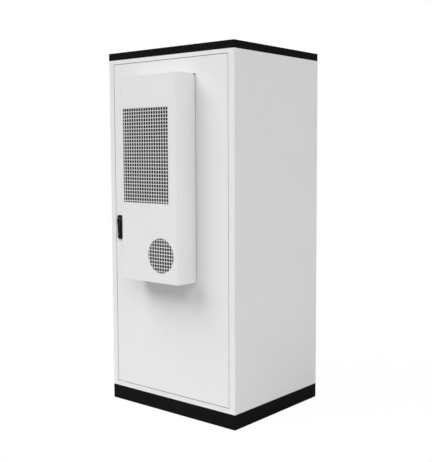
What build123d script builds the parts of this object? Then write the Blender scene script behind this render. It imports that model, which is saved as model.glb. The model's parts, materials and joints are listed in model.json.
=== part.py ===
"""Outdoor battery cabinet: black plinth and roof cap, insulated white body with two columns of battery
packs, and a full-height door that carries an air conditioner and a swing-handle rod lock.

Millimetres. +Z is up, +X to the right and -Y towards the front. The origin is the centre of the footprint
on the floor.
"""
from build123d import *
from math import ceil, cos, floor, radians, sin
import os

# ---- overall ----
WIDTH = 1000.0
DEPTH = 800.0
HEIGHT = 2150.0
PLINTH_HEIGHT = 87.0
CAP_HEIGHT = 44.0
SHEET = 2.0                 # body sheet steel
FIT_GAP = 0.3               # between pieces that lie beside each other
RUNNING_GAP = 0.08          # radial, of a pin or shaft that turns in a hole
HEXAGON = 6
OCTAGON = 8

# ---- plinth and floor ----
PLINTH_STEEL = 3.0
PLINTH_FLANGE = 52.0
ANCHOR_RADIUS = 9.0
ANCHOR_SPACING_X = 880.0
ANCHOR_INSET_Y = 28.0       # anchor hole centre, in from the front and back faces
FLOOR_STEEL = 3.0
GLAND_PLATE_WIDTH = 420.0
GLAND_PLATE_DEPTH = 150.0
GLAND_PLATE_Y = 100.0
GLAND_PLATE_STEEL = 3.0
GLAND_LAP = 20.0
GLAND_COUNT = 4
GLAND_PITCH = 90.0
GLAND_RADIUS = 22.0         # across the hexagon's corners, halved
GLAND_HEIGHT = 14.0
GLAND_CAP_RADIUS = 17.0
GLAND_CAP_HEIGHT = 12.0
GLAND_CAP_TAPER = 20.0

# ---- frame ----
STRIP_SIDE = 42.0           # frame face beside the door
STRIP_TOP = 24.0
STRIP_BOTTOM = 29.0
JAMB_DEPTH = 48.0           # front face to the front of the web
LIP_INSET = 70.0            # door opening edge to the clear opening
LIP_HEIGHT = 12.0
POST_SIZE = 36.0
POST_WALL = 2.5
RAIL_HEIGHT = 40.0
RAIL_WIDTH = 36.0
INSULATION = 18.0

# ---- door ----
DOOR_GAP = 3.0
DOOR_RETURN = 30.0
DOOR_FLANGE = 15.0
RING_OUT = 11.0             # lip's middle to the inner ring's outer edge
RING_IN = 13.0
RING_WALL = 1.5
GASKET_HALF = 8.5
GASKET_SQUASH_GAP = 0.5
STIFFENERS = 2
STIFFENER_FOOT = 15.0
STIFFENER_CROWN = 30.0
STIFFENER_DEPTH = 20.0

# ---- hinges ----
PIVOT_INSET = 28.0          # in from the door's edge
PIVOT_SETBACK = 12.0        # behind the door's front face
HINGE_INSET = 220.0         # end hinges, in from the door's ends
KNUCKLE_RADIUS = 7.0
KNUCKLE_HEIGHT = 40.0
HINGE_PIN_RADIUS = 4.0
LUG_HEIGHT = 12.0
LUG_GAP = 0.5
ARM_NEAR = 1.0              # arm's forward leg, from the pivot towards the door's middle
ARM_FAR = 9.0
ARM_STEEL = 4.0
NOTCH_HEIGHT = 76.0

# ---- rack, packs and electrics ----
PACK_WIDTH = 356.0
PACK_DEPTH = 610.0
PACK_SPACE = 30.0           # between one pack and the next above it
PACK_FRONT_Y = -310.0
PACK_LEVELS = 6
PACK_BASE_RISE = 34.0       # lowest pack above the door opening's lower edge
PACK_BEZEL = 4.0            # front plate's thickness and how far it stands out past the case
PACK_BEZEL_LAP = 2.0
TERMINAL = 26.0
TERMINAL_DEPTH = 14.0
TERMINAL_OUT = 130.0        # terminal's middle from the pack's middle
TERMINAL_RISE = 72.0        # and above or below it
SHELF_STEEL = 2.0
SHELF_SIDE = 22.0
SHELF_GAP = 1.0             # between a shelf's side and the pack
UPRIGHT_WIDTH = 24.0
UPRIGHT_DEPTH = 40.0
UPRIGHT_WALL = 3.0
UPRIGHT_Y = 270.0
LINK_WIDTH = 20.0
LINK_THICKNESS = 4.0
CONTROL_HEIGHT = 170.0
CONTROL_HEADROOM = 120.0    # control box to the top of the clear opening
CONTROL_DEPTH = 420.0
ISOLATOR_X = 250.0
ISOLATOR_PLATE = 70.0
ISOLATOR_PLATE_DEPTH = 5.0
ISOLATOR_SHAFT_RADIUS = 4.0
KNOB_RADIUS = 24.0
KNOB_DEPTH = 14.0
KNOB_GRIP = 10.0
EARTH_BAR_LENGTH = 300.0
EARTH_BAR_HEIGHT = 30.0
EARTH_BAR_THICKNESS = 5.0
EARTH_BAR_RISE = 14.0       # above the door opening's lower edge
EARTH_BAR_STANDOFF = 12.0
DETECTOR_X = -200.0
DETECTOR_Y = -100.0
DETECTOR_RADIUS = 50.0
DETECTOR_HEIGHT = 40.0
DETECTOR_SIDES = 16
CANISTER_RADIUS = 38.0
CANISTER_LENGTH = 190.0
CANISTER_X = 60.0
SADDLE_WIDTH = 18.0
SADDLE_SEAT = 3.0
SADDLE_PLACES = (0.25, 0.75)  # along the canister, as shares of its length

# ---- air conditioner ----
AC_WIDTH = 460.0
AC_RIGHT = 218.0
AC_DEPTH = 151.0            # door face to the unit's front
AC_HEIGHT = 1180.0
AC_TOP_GAP = 92.0           # door's top edge to the unit's top
AC_STEEL = 1.5
AC_CORNER = 18.0
AC_GASKET = 3.0
AC_GASKET_WIDTH = 14.0
AC_GASKET_INSET = 4.0
HOLE_PITCH = 19.65
HOLE_SIZE = 14.0
STRIP_STEEL = 1.0
WELD_GAP = 0.05             # between the two layers of a welded lattice
GRILLE_MARGIN_X = 8.0       # lattice beyond the window
GRILLE_MARGIN_Z = 14.0
FIRST_SQUARE = (8.0, 10.0)  # window's right and top edges to the middle of the corner square
WINDOW_WIDTH = 362.0
WINDOW_HEIGHT = 541.0
WINDOW_INSET = 26.0         # unit's left edge to the window
WINDOW_RISE = 452.0         # unit's lower edge to the window
ROUND_RADIUS = 98.0
ROUND_INSET = 136.0         # unit's right edge to the middle of the round window
ROUND_RISE = 156.5          # unit's lower edge to the same
ROUND_LAP = 12.0
DUCT_WIDTH = 280.0
RETURN_HEIGHT = 100.0
RETURN_DROP = 107.0         # unit's top to the middle of the return duct
SUPPLY_HEIGHT = 100.0
SUPPLY_RISE = 353.0         # unit's lower edge to the middle of the supply duct
PARTITION_DEPTH = 62.0      # indoor side of the unit, from its base plate
COIL_DEPTH = 34.0
COIL_GAP = 12.0             # unit's face to the coil
COIL_END = 2.0
EVAPORATOR_DEPTH = 30.0
EVAPORATOR_HEIGHT = 420.0
COMPRESSOR_RADIUS = 38.0
COMPRESSOR_HEIGHT = 210.0
COMPRESSOR_FOOT_RADIUS = 47.5
COMPRESSOR_INSET = 92.0     # unit's left edge to the compressor's middle
FAN_CLEARANCE = 6.0
FAN_DEPTH = 22.0
FAN_HUB_RADIUS = 26.0
FAN_BLADES = 5
FAN_PITCH_ANGLE = 24.0
FAN_BLADE_STEEL = 1.6
FAN_BLADE_ROOT = 0.9        # blade's inner end, as a share of the hub's radius
FAN_SHAFT_RADIUS = 4.0
FAN_SHAFT_REACH = 10.0      # into the motor
FAN_GRILLE_GAP = 8.0
INDOOR_FAN_RADIUS = 46.0
INDOOR_HUB_RADIUS = 18.0
INDOOR_FAN_DEPTH = 16.0
MOTOR_ACROSS = 56.0
MOTOR_GAP = 2.0
SHROUD_MARGIN = 12.0
SHROUD_STEEL = 1.5
SHROUD_SIDES = 24
AC_FLOOR_RISE = 10.0
CONTROLLER_WIDTH = 120.0
CONTROLLER_HEIGHT = 90.0
CONTROLLER_DEPTH = 28.0
FAN_TIP_ANGLE = 22.0        # half a blade's width at the tip, as an angle
MOTOR_LENGTH = 28.0

# ---- lock ----
HANDLE_INSET = 36.0         # handle's middle, in from the door's edge
HANDLE_WIDTH = 36.0
HANDLE_HEIGHT = 148.0
HANDLE_BOTTOM = 1016.0
BASE_DEPTH = 8.0
LEVER_WIDTH = 26.0
LEVER_DEPTH = 12.0
LEVER_GAP = 0.4
SPINDLE_DROP = 22.0         # spindle below the top of the escutcheon
SPINDLE_RADIUS = 7.0
SPINDLE_BARREL = 4.0        # radius of the cross barrel that the lever tips on
SPINDLE_NECK = 10.0
LEVER_TAPER = 3.0
LEVER_END = 6.0             # escutcheon showing below the lever
LIFT_ANGLE = 35.0
LIFT_PIN_RADIUS = 2.0
KEY_RADIUS = 6.0
KEY_RISE = 26.0             # key cylinder above the lever's lower end
CRANK_RADIUS = 13.0
CAM_REACH = 17.0            # half the crank plate's length
CAM_STEEL = 3.0
CRANK_PIN_RADIUS = 3.0
ROD_WIDTH = 14.0
ROD_THICKNESS = 4.0
ROD_SLOT_GAP = 0.6
ROD_TIP_GAP = 2.0
ROD_SPLIT = 1.0             # each rod's edge to the spindle's centre line
GUIDE_STEEL = 2.0
GUIDE_HEIGHT = 20.0
GUIDE_END = 100.0           # outer guides, in from the door's ends
GUIDE_NEAR = 320.0          # inner guides, from the spindle
BASE_CORNER = 9.0
BASE_CHAMFER = 1.5
KEY_SLOT_WIDTH = 1.6

# ---- worked out from the above ----
FRONT = -DEPTH / 2
BACK = DEPTH / 2
BODY_TOP = HEIGHT - CAP_HEIGHT
OPEN_X = WIDTH / 2 - STRIP_SIDE
OPEN_BOTTOM = PLINTH_HEIGHT + STRIP_BOTTOM
OPEN_TOP = BODY_TOP - STRIP_TOP
OPEN_MID = (OPEN_BOTTOM + OPEN_TOP) / 2
OPEN_HEIGHT = OPEN_TOP - OPEN_BOTTOM
WEB_FRONT = FRONT + JAMB_DEPTH
LIP_X = OPEN_X - LIP_INSET
LIP_FRONT = WEB_FRONT - LIP_HEIGHT
DOOR_X = OPEN_X - DOOR_GAP
DOOR_BOTTOM = OPEN_BOTTOM + DOOR_GAP
DOOR_TOP = OPEN_TOP - DOOR_GAP
DOOR_BACK = FRONT + DOOR_RETURN
HANDLE_X = -DOOR_X + HANDLE_INSET
SKIN_BACK = FRONT + SHEET
SEAL_X = LIP_X + SHEET / 2                     # middle of the lip that the gasket closes on
SEAL_BOTTOM = OPEN_BOTTOM + LIP_INSET - SHEET / 2
SEAL_TOP = OPEN_TOP - LIP_INSET + SHEET / 2
GASKET_BACK = LIP_FRONT - GASKET_SQUASH_GAP
RING_BACK = DOOR_BACK - SHEET
PIVOT_X = DOOR_X - PIVOT_INSET
HINGE_HEIGHTS = (DOOR_BOTTOM + HINGE_INSET, OPEN_MID, DOOR_TOP - HINGE_INSET)
PIVOT_Y = FRONT + PIVOT_SETBACK
POST_X = WIDTH / 2 - SHEET - FIT_GAP - POST_SIZE / 2
POST_FRONT_Y = SKIN_BACK + FIT_GAP + POST_SIZE / 2
POST_BACK_Y = BACK - SHEET - FIT_GAP - POST_SIZE / 2
FLOOR_TOP = PLINTH_HEIGHT + FLOOR_STEEL
COLUMN_X = UPRIGHT_WIDTH / 2 + SHELF_STEEL + SHELF_GAP + PACK_WIDTH / 2
UPRIGHT_X = COLUMN_X * 2
PACK_MID_Y = PACK_FRONT_Y + PACK_DEPTH / 2
RACK_TOP = OPEN_TOP - LIP_INSET - CONTROL_HEADROOM
CONTROL_BASE_Z = RACK_TOP - CONTROL_HEIGHT
PACK_BASE_Z = OPEN_BOTTOM + PACK_BASE_RISE
PACK_PITCH = (CONTROL_BASE_Z - PACK_BASE_Z) / PACK_LEVELS
PACK_HEIGHT = PACK_PITCH - PACK_SPACE
CONTROL_WIDTH = (UPRIGHT_X - UPRIGHT_WIDTH / 2 - FIT_GAP) * 2
AC_LEFT = AC_RIGHT - AC_WIDTH
AC_MID_X = (AC_LEFT + AC_RIGHT) / 2
AC_TOP = DOOR_TOP - AC_TOP_GAP
AC_BOTTOM = AC_TOP - AC_HEIGHT
AC_FRONT = FRONT - AC_DEPTH
AC_BASE_BACK = FRONT - AC_GASKET
AC_BASE_FRONT = AC_BASE_BACK - SHEET
AC_FACE_BACK = AC_FRONT + AC_STEEL
GRILLE_BACK = AC_FACE_BACK + 2 * STRIP_STEEL + WELD_GAP
STRIP_WIDTH = HOLE_PITCH - HOLE_SIZE
PARTITION_Y = AC_BASE_FRONT - PARTITION_DEPTH
RETURN_Z = AC_TOP - RETURN_DROP
SUPPLY_Z = AC_BOTTOM + SUPPLY_RISE
PARTITION_FLOOR = SUPPLY_Z - SUPPLY_HEIGHT / 2 - 3 * SHEET
WINDOW_LEFT = AC_LEFT + WINDOW_INSET
WINDOW_RIGHT = WINDOW_LEFT + WINDOW_WIDTH
WINDOW_BOTTOM = AC_BOTTOM + WINDOW_RISE
WINDOW_TOP = WINDOW_BOTTOM + WINDOW_HEIGHT
GRILLE_RIGHT = WINDOW_RIGHT - FIRST_SQUARE[0]
GRILLE_TOP = WINDOW_TOP - FIRST_SQUARE[1]
ROUND_X = AC_RIGHT - ROUND_INSET
ROUND_Z = AC_BOTTOM + ROUND_RISE
COMPRESSOR_X = AC_LEFT + COMPRESSOR_INSET
AC_IN_LEFT = AC_LEFT + AC_STEEL + FIT_GAP
AC_IN_RIGHT = AC_RIGHT - AC_STEEL - FIT_GAP
SPINDLE_Z = HANDLE_BOTTOM + HANDLE_HEIGHT - SPINDLE_DROP
BASE_FRONT = FRONT - BASE_DEPTH
LEVER_BACK = BASE_FRONT - LEVER_GAP
LEVER_MID_Y = LEVER_BACK - LEVER_DEPTH / 2
LEVER_FRONT = LEVER_BACK - LEVER_DEPTH
LEVER_BOTTOM = HANDLE_BOTTOM + LEVER_END
CAM_FRONT = SKIN_BACK + 3 * FIT_GAP
CAM_BACK = CAM_FRONT + CAM_STEEL
ROD_FRONT = CAM_BACK + FIT_GAP
ROD_BACK = ROD_FRONT + ROD_THICKNESS
CRANK_RISE = CRANK_RADIUS * sin(radians(45))


def block(x, y, z, mode=Mode.ADD):
    """A block between the low and high limits x, y and z."""
    with Locations(((x[0] + x[1]) / 2, (y[0] + y[1]) / 2, (z[0] + z[1]) / 2)):
        Box(x[1] - x[0], y[1] - y[0], z[1] - z[0], mode=mode)


def facing(y):
    """The sketch plane at y that faces the front, with X to the right and Z up."""
    return Plane.XZ.offset(-y)


def finish(piece, label):
    """Name a finished piece and write it."""
    piece.label = label
    export_step(piece, f"parts/{label}.step")


os.makedirs("parts", exist_ok=True)

# =============================== plinth, floor and cable entry ===============================
with BuildPart() as plinth:
    with BuildSketch():
        Rectangle(WIDTH, DEPTH)
        Rectangle(WIDTH - 2 * PLINTH_FLANGE, DEPTH - 2 * PLINTH_FLANGE, mode=Mode.SUBTRACT)
    extrude(amount=PLINTH_HEIGHT)
    with BuildSketch(Plane.XY.offset(PLINTH_STEEL)):
        Rectangle(WIDTH - 2 * PLINTH_STEEL, DEPTH - 2 * PLINTH_STEEL)
    extrude(amount=PLINTH_HEIGHT - 2 * PLINTH_STEEL, mode=Mode.SUBTRACT)
    with BuildSketch():
        with GridLocations(ANCHOR_SPACING_X, DEPTH - 2 * ANCHOR_INSET_Y, 2, 2):
            Circle(ANCHOR_RADIUS)
    extrude(amount=PLINTH_STEEL, mode=Mode.SUBTRACT)
finish(plinth.part, "plinth")

with BuildPart() as floor_plate:
    with BuildSketch(Plane.XY.offset(PLINTH_HEIGHT)):
        Rectangle(WIDTH - 2 * SHEET - 2 * FIT_GAP, DEPTH - 2 * SHEET - 2 * FIT_GAP)
        with Locations((0, GLAND_PLATE_Y)):
            Rectangle(GLAND_PLATE_WIDTH - 2 * GLAND_LAP, GLAND_PLATE_DEPTH - 2 * GLAND_LAP,
                      mode=Mode.SUBTRACT)
    extrude(amount=FLOOR_STEEL)
finish(floor_plate.part, "floor_plate")

with BuildPart() as gland_plate:
    with BuildSketch(Plane.XY.offset(FLOOR_TOP)):
        with Locations((0, GLAND_PLATE_Y)):
            Rectangle(GLAND_PLATE_WIDTH, GLAND_PLATE_DEPTH)
    extrude(amount=GLAND_PLATE_STEEL)
finish(gland_plate.part, "gland_plate")

with BuildPart() as cable_glands:
    with BuildSketch(Plane.XY.offset(FLOOR_TOP + GLAND_PLATE_STEEL)):
        with Locations((0, GLAND_PLATE_Y)):
            with GridLocations(GLAND_PITCH, 1, GLAND_COUNT, 1):
                RegularPolygon(GLAND_RADIUS, HEXAGON)
    extrude(amount=GLAND_HEIGHT)
    with BuildSketch(Plane.XY.offset(FLOOR_TOP + GLAND_PLATE_STEEL + GLAND_HEIGHT)):
        with Locations((0, GLAND_PLATE_Y)):
            with GridLocations(GLAND_PITCH, 1, GLAND_COUNT, 1):
                RegularPolygon(GLAND_CAP_RADIUS, HEXAGON, rotation=180 / HEXAGON)
    extrude(amount=GLAND_CAP_HEIGHT, taper=GLAND_CAP_TAPER)
finish(cable_glands.part, "cable_glands")

# =============================== body frame ===============================
with BuildPart() as front_frame:
    with BuildSketch(facing(SKIN_BACK)):                            # face strips round the door
        with Locations((0, (PLINTH_HEIGHT + BODY_TOP) / 2)):
            Rectangle(WIDTH, BODY_TOP - PLINTH_HEIGHT)
        with Locations((0, OPEN_MID)):
            Rectangle(2 * OPEN_X, OPEN_HEIGHT, mode=Mode.SUBTRACT)
    extrude(amount=SHEET)
    with BuildSketch(facing(WEB_FRONT)):                            # jamb
        with Locations((0, OPEN_MID)):
            Rectangle(2 * (OPEN_X + SHEET), OPEN_HEIGHT + 2 * SHEET)
            Rectangle(2 * OPEN_X, OPEN_HEIGHT, mode=Mode.SUBTRACT)
    extrude(amount=JAMB_DEPTH - SHEET)
    with BuildSketch(facing(WEB_FRONT + SHEET)):                    # web behind the door's edge
        with Locations((0, OPEN_MID)):
            Rectangle(2 * (OPEN_X + SHEET), OPEN_HEIGHT + 2 * SHEET)
            Rectangle(2 * LIP_X, OPEN_HEIGHT - 2 * LIP_INSET, mode=Mode.SUBTRACT)
    extrude(amount=SHEET)
    with BuildSketch(facing(WEB_FRONT)):                            # lip that meets the gasket
        with Locations((0, OPEN_MID)):
            Rectangle(2 * (LIP_X + SHEET), OPEN_HEIGHT - 2 * LIP_INSET + 2 * SHEET)
            Rectangle(2 * LIP_X, OPEN_HEIGHT - 2 * LIP_INSET, mode=Mode.SUBTRACT)
    extrude(amount=LIP_HEIGHT)
finish(front_frame.part, "front_frame")

with BuildPart() as corner_posts:
    post_length = BODY_TOP - SHEET - FLOOR_TOP
    post_spacing_y = POST_BACK_Y - POST_FRONT_Y
    with BuildSketch(Plane.XY.offset(FLOOR_TOP)):
        with Locations((0, (POST_FRONT_Y + POST_BACK_Y) / 2)):
            with GridLocations(2 * POST_X, post_spacing_y, 2, 2):
                Rectangle(POST_SIZE, POST_SIZE)
                Rectangle(POST_SIZE - 2 * POST_WALL, POST_SIZE - 2 * POST_WALL, mode=Mode.SUBTRACT)
    extrude(amount=post_length)
finish(corner_posts.part, "corner_posts")

with BuildPart() as frame_rails:
    rail_x = (POST_X - RAIL_WIDTH / 2, POST_X + RAIL_WIDTH / 2)
    rail_y = (POST_FRONT_Y + POST_SIZE / 2, POST_BACK_Y - POST_SIZE / 2)
    for rail_z in (FLOOR_TOP, BODY_TOP - SHEET - RAIL_HEIGHT):
        span_z = (rail_z, rail_z + RAIL_HEIGHT)
        block(rail_x, rail_y, span_z)
        block((-rail_x[1], -rail_x[0]), rail_y, span_z)
        block((-POST_X + POST_SIZE / 2, POST_X - POST_SIZE / 2),
              (POST_BACK_Y - RAIL_WIDTH / 2, POST_BACK_Y + RAIL_WIDTH / 2), span_z)
finish(frame_rails.part, "frame_rails")

for side, name in ((-1, "left_side_panel"), (1, "right_side_panel")):
    with BuildPart() as side_panel:
        x_limits = sorted((side * (WIDTH / 2 - SHEET), side * WIDTH / 2))
        block(x_limits, (SKIN_BACK, BACK - SHEET), (PLINTH_HEIGHT, BODY_TOP))
    finish(side_panel.part, name)

with BuildPart() as rear_panel:
    block((-WIDTH / 2, WIDTH / 2), (BACK - SHEET, BACK), (PLINTH_HEIGHT, BODY_TOP))
finish(rear_panel.part, "rear_panel")

with BuildPart() as roof_panel:
    half_x = WIDTH / 2 - SHEET - FIT_GAP
    block((-half_x, half_x), (SKIN_BACK + FIT_GAP, BACK - SHEET - FIT_GAP), (BODY_TOP - SHEET, BODY_TOP))
finish(roof_panel.part, "roof_panel")

with BuildPart() as roof_cap:
    block((-WIDTH / 2, WIDTH / 2), (FRONT, BACK), (BODY_TOP, HEIGHT))
    block((-WIDTH / 2 + SHEET, WIDTH / 2 - SHEET), (FRONT + SHEET, BACK - SHEET),
          (BODY_TOP, HEIGHT - SHEET), mode=Mode.SUBTRACT)
finish(roof_cap.part, "roof_cap")

with BuildPart() as wall_insulation:
    foam_z = (FLOOR_TOP + RAIL_HEIGHT + FIT_GAP, BODY_TOP - SHEET - RAIL_HEIGHT - FIT_GAP)
    foam_y = (rail_y[0] + FIT_GAP, rail_y[1] - FIT_GAP)
    foam_x = POST_X - POST_SIZE / 2 - FIT_GAP
    block((WIDTH / 2 - SHEET - INSULATION, WIDTH / 2 - SHEET), foam_y, foam_z)
    block((-WIDTH / 2 + SHEET, -WIDTH / 2 + SHEET + INSULATION), foam_y, foam_z)
    block((-foam_x, foam_x), (BACK - SHEET - INSULATION, BACK - SHEET), foam_z)
    block((-foam_x, foam_x), foam_y, (BODY_TOP - SHEET - INSULATION, BODY_TOP - SHEET))
finish(wall_insulation.part, "wall_insulation")

# =============================== rack and battery packs ===============================
# The outer uprights run up beside the control box, and the middle ones carry it on their tops.
with BuildPart() as rack_uprights:
    for spacing_x, count, top in ((2 * UPRIGHT_X, 2, RACK_TOP), (UPRIGHT_X, 1, CONTROL_BASE_Z)):
        with BuildSketch(Plane.XY.offset(FLOOR_TOP)):
            with GridLocations(spacing_x, 2 * UPRIGHT_Y, count, 2):
                Rectangle(UPRIGHT_WIDTH, UPRIGHT_DEPTH)
                with Locations((0, UPRIGHT_WALL)):
                    Rectangle(UPRIGHT_WIDTH - 2 * UPRIGHT_WALL, UPRIGHT_DEPTH, mode=Mode.SUBTRACT)
        extrude(amount=top - FLOOR_TOP)
finish(rack_uprights.part, "rack_uprights")

with BuildPart() as pack_shelves:
    shelf_half = PACK_WIDTH / 2 + SHELF_GAP + SHELF_STEEL
    for level in range(PACK_LEVELS):
        shelf_z = PACK_BASE_Z + level * PACK_PITCH
        for column_x in (-COLUMN_X, COLUMN_X):
            with BuildSketch(facing(PACK_MID_Y + PACK_DEPTH / 2)):
                with Locations((column_x, shelf_z - SHELF_STEEL + SHELF_SIDE / 2)):
                    Rectangle(2 * shelf_half, SHELF_SIDE)
                with Locations((column_x, shelf_z + SHELF_SIDE / 2)):
                    Rectangle(2 * (shelf_half - SHELF_STEEL), SHELF_SIDE, mode=Mode.SUBTRACT)
            extrude(amount=PACK_DEPTH - 2 * PACK_BEZEL)
finish(pack_shelves.part, "pack_shelves")


for level in range(PACK_LEVELS):
    with BuildPart() as pack_pair:                      # the two packs of one level, each a solid of its own
        base_z = PACK_BASE_Z + level * PACK_PITCH
        middle_z = base_z + PACK_HEIGHT / 2
        half = PACK_WIDTH / 2
        plate = half - PACK_BEZEL_LAP
        for column_x in (-COLUMN_X, COLUMN_X):
            block((column_x - half, column_x + half), (PACK_FRONT_Y, PACK_FRONT_Y + PACK_DEPTH),
                  (base_z, base_z + PACK_HEIGHT))
            block((column_x - plate, column_x + plate), (PACK_FRONT_Y - PACK_BEZEL, PACK_FRONT_Y),
                  (base_z + PACK_BEZEL_LAP + SHELF_SIDE, base_z + PACK_HEIGHT - PACK_BEZEL_LAP))
            for x, z in ((-TERMINAL_OUT, SHELF_SIDE - TERMINAL_RISE), (TERMINAL_OUT, TERMINAL_RISE)):
                block((column_x + x - TERMINAL / 2, column_x + x + TERMINAL / 2),
                      (PACK_FRONT_Y - PACK_BEZEL - TERMINAL_DEPTH, PACK_FRONT_Y - PACK_BEZEL),
                      (middle_z + z - TERMINAL / 2, middle_z + z + TERMINAL / 2))
    finish(pack_pair.part, f"battery_packs_{level + 1}")

with BuildPart() as pack_links:
    terminal_front = PACK_FRONT_Y - PACK_BEZEL - TERMINAL_DEPTH
    link_y = (terminal_front - LINK_THICKNESS, terminal_front)
    link_half = LINK_WIDTH / 2
    for column_x in (-COLUMN_X, COLUMN_X):
        for level in range(PACK_LEVELS - 1):
            base_z = PACK_BASE_Z + level * PACK_PITCH
            from_z = base_z + PACK_HEIGHT / 2 + TERMINAL_RISE
            to_z = base_z + PACK_PITCH + PACK_HEIGHT / 2 - TERMINAL_RISE + SHELF_SIDE
            cross_z = base_z + PACK_HEIGHT + SHELF_SIDE
            block((column_x + TERMINAL_OUT - link_half, column_x + TERMINAL_OUT + link_half), link_y,
                  (from_z - link_half, cross_z))
            block((column_x - TERMINAL_OUT - link_half, column_x + TERMINAL_OUT + link_half), link_y,
                  (cross_z, cross_z + LINK_WIDTH))
            block((column_x - TERMINAL_OUT - link_half, column_x - TERMINAL_OUT + link_half), link_y,
                  (cross_z + LINK_WIDTH, to_z + link_half))
finish(pack_links.part, "pack_links")

# =============================== control box, isolator, earth, fire devices ===============================
with BuildPart() as control_box:
    box_x = CONTROL_WIDTH / 2
    box_y = (PACK_FRONT_Y, PACK_FRONT_Y + CONTROL_DEPTH)
    block((-box_x, box_x), box_y, (CONTROL_BASE_Z, CONTROL_BASE_Z + CONTROL_HEIGHT))
    with Locations(facing(PACK_FRONT_Y)):
        with Locations((ISOLATOR_X, CONTROL_BASE_Z + CONTROL_HEIGHT / 2)):
            Hole(ISOLATOR_SHAFT_RADIUS + RUNNING_GAP, depth=KNOB_DEPTH)
finish(control_box.part, "control_box")

with BuildPart() as isolator_plate:
    isolator_z = CONTROL_BASE_Z + CONTROL_HEIGHT / 2
    with BuildSketch(facing(PACK_FRONT_Y)):
        with Locations((ISOLATOR_X, isolator_z)):
            Rectangle(ISOLATOR_PLATE, ISOLATOR_PLATE)
            Circle(ISOLATOR_SHAFT_RADIUS + RUNNING_GAP, mode=Mode.SUBTRACT)
    extrude(amount=ISOLATOR_PLATE_DEPTH)
finish(isolator_plate.part, "isolator_plate")

with BuildPart() as isolator_knob:
    knob_back = PACK_FRONT_Y - ISOLATOR_PLATE_DEPTH - FIT_GAP
    with BuildSketch(facing(knob_back)):
        with Locations((ISOLATOR_X, isolator_z)):
            Circle(KNOB_RADIUS)
    extrude(amount=KNOB_DEPTH / 2)
    with BuildSketch(facing(knob_back - KNOB_DEPTH / 2)):
        with Locations((ISOLATOR_X, isolator_z)):
            Rectangle(KNOB_GRIP, 2 * KNOB_RADIUS - KNOB_GRIP)
    extrude(amount=KNOB_DEPTH)
    with BuildSketch(facing(PACK_FRONT_Y + KNOB_DEPTH / 2)):
        with Locations((ISOLATOR_X, isolator_z)):
            Circle(ISOLATOR_SHAFT_RADIUS)
    extrude(amount=KNOB_DEPTH / 2 + ISOLATOR_PLATE_DEPTH + FIT_GAP)
finish(isolator_knob.part, "isolator_knob")

with BuildPart() as earth_bar:
    bar_front = WEB_FRONT + SHEET + EARTH_BAR_STANDOFF
    bar_z = (OPEN_BOTTOM + EARTH_BAR_RISE, OPEN_BOTTOM + EARTH_BAR_RISE + EARTH_BAR_HEIGHT)
    block((-EARTH_BAR_LENGTH / 2, EARTH_BAR_LENGTH / 2), (bar_front, bar_front + EARTH_BAR_THICKNESS), bar_z)
    for foot_x in (-EARTH_BAR_LENGTH / 2, EARTH_BAR_LENGTH / 2 - EARTH_BAR_HEIGHT):
        block((foot_x, foot_x + EARTH_BAR_HEIGHT), (WEB_FRONT + SHEET, bar_front), bar_z)
finish(earth_bar.part, "earth_bar")

with BuildPart() as smoke_detector:
    ceiling = BODY_TOP - SHEET - INSULATION
    with BuildSketch(Plane.XY.offset(ceiling - DETECTOR_HEIGHT)):
        with Locations((DETECTOR_X, DETECTOR_Y)):
            RegularPolygon(DETECTOR_RADIUS, DETECTOR_SIDES)
    extrude(amount=DETECTOR_HEIGHT)
    chamfer(smoke_detector.faces().sort_by(Axis.Z)[0].edges(), DETECTOR_HEIGHT / 3)
finish(smoke_detector.part, "smoke_detector")

canister_z = CONTROL_BASE_Z + CONTROL_HEIGHT + CANISTER_RADIUS * 2 ** 0.5 + SADDLE_SEAT
with BuildPart() as fire_canister:
    with BuildSketch(Plane.YZ.offset(CANISTER_X)):
        with Locations((PACK_MID_Y, canister_z)):
            Circle(CANISTER_RADIUS)
    extrude(amount=CANISTER_LENGTH)
    with BuildSketch(Plane.YZ.offset(CANISTER_X + CANISTER_LENGTH)):
        with Locations((PACK_MID_Y, canister_z)):
            RegularPolygon(CANISTER_RADIUS / 3, HEXAGON)
    extrude(amount=CANISTER_RADIUS / 2)
finish(fire_canister.part, "fire_canister")

with BuildPart() as canister_saddles:                   # V blocks that the canister lies in
    for share in SADDLE_PLACES:
        with BuildSketch(Plane.YZ.offset(CANISTER_X + share * CANISTER_LENGTH)):
            with Locations((PACK_MID_Y, CONTROL_BASE_Z + CONTROL_HEIGHT + CANISTER_RADIUS / 2)):
                Rectangle(2 * CANISTER_RADIUS, CANISTER_RADIUS)
            with Locations((PACK_MID_Y, canister_z + FIT_GAP)):
                Rectangle(2 * (CANISTER_RADIUS + FIT_GAP), 2 * (CANISTER_RADIUS + FIT_GAP), rotation=45,
                          mode=Mode.SUBTRACT)
        extrude(amount=SADDLE_WIDTH)
finish(canister_saddles.part, "canister_saddles")

# =============================== door ===============================
DUCTS = ((RETURN_Z, RETURN_HEIGHT), (SUPPLY_Z, SUPPLY_HEIGHT))
upper_rod_x = (HANDLE_X - ROD_SPLIT - ROD_WIDTH, HANDLE_X - ROD_SPLIT)
lower_rod_x = (HANDLE_X + ROD_SPLIT, HANDLE_X + ROD_SPLIT + ROD_WIDTH)

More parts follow.
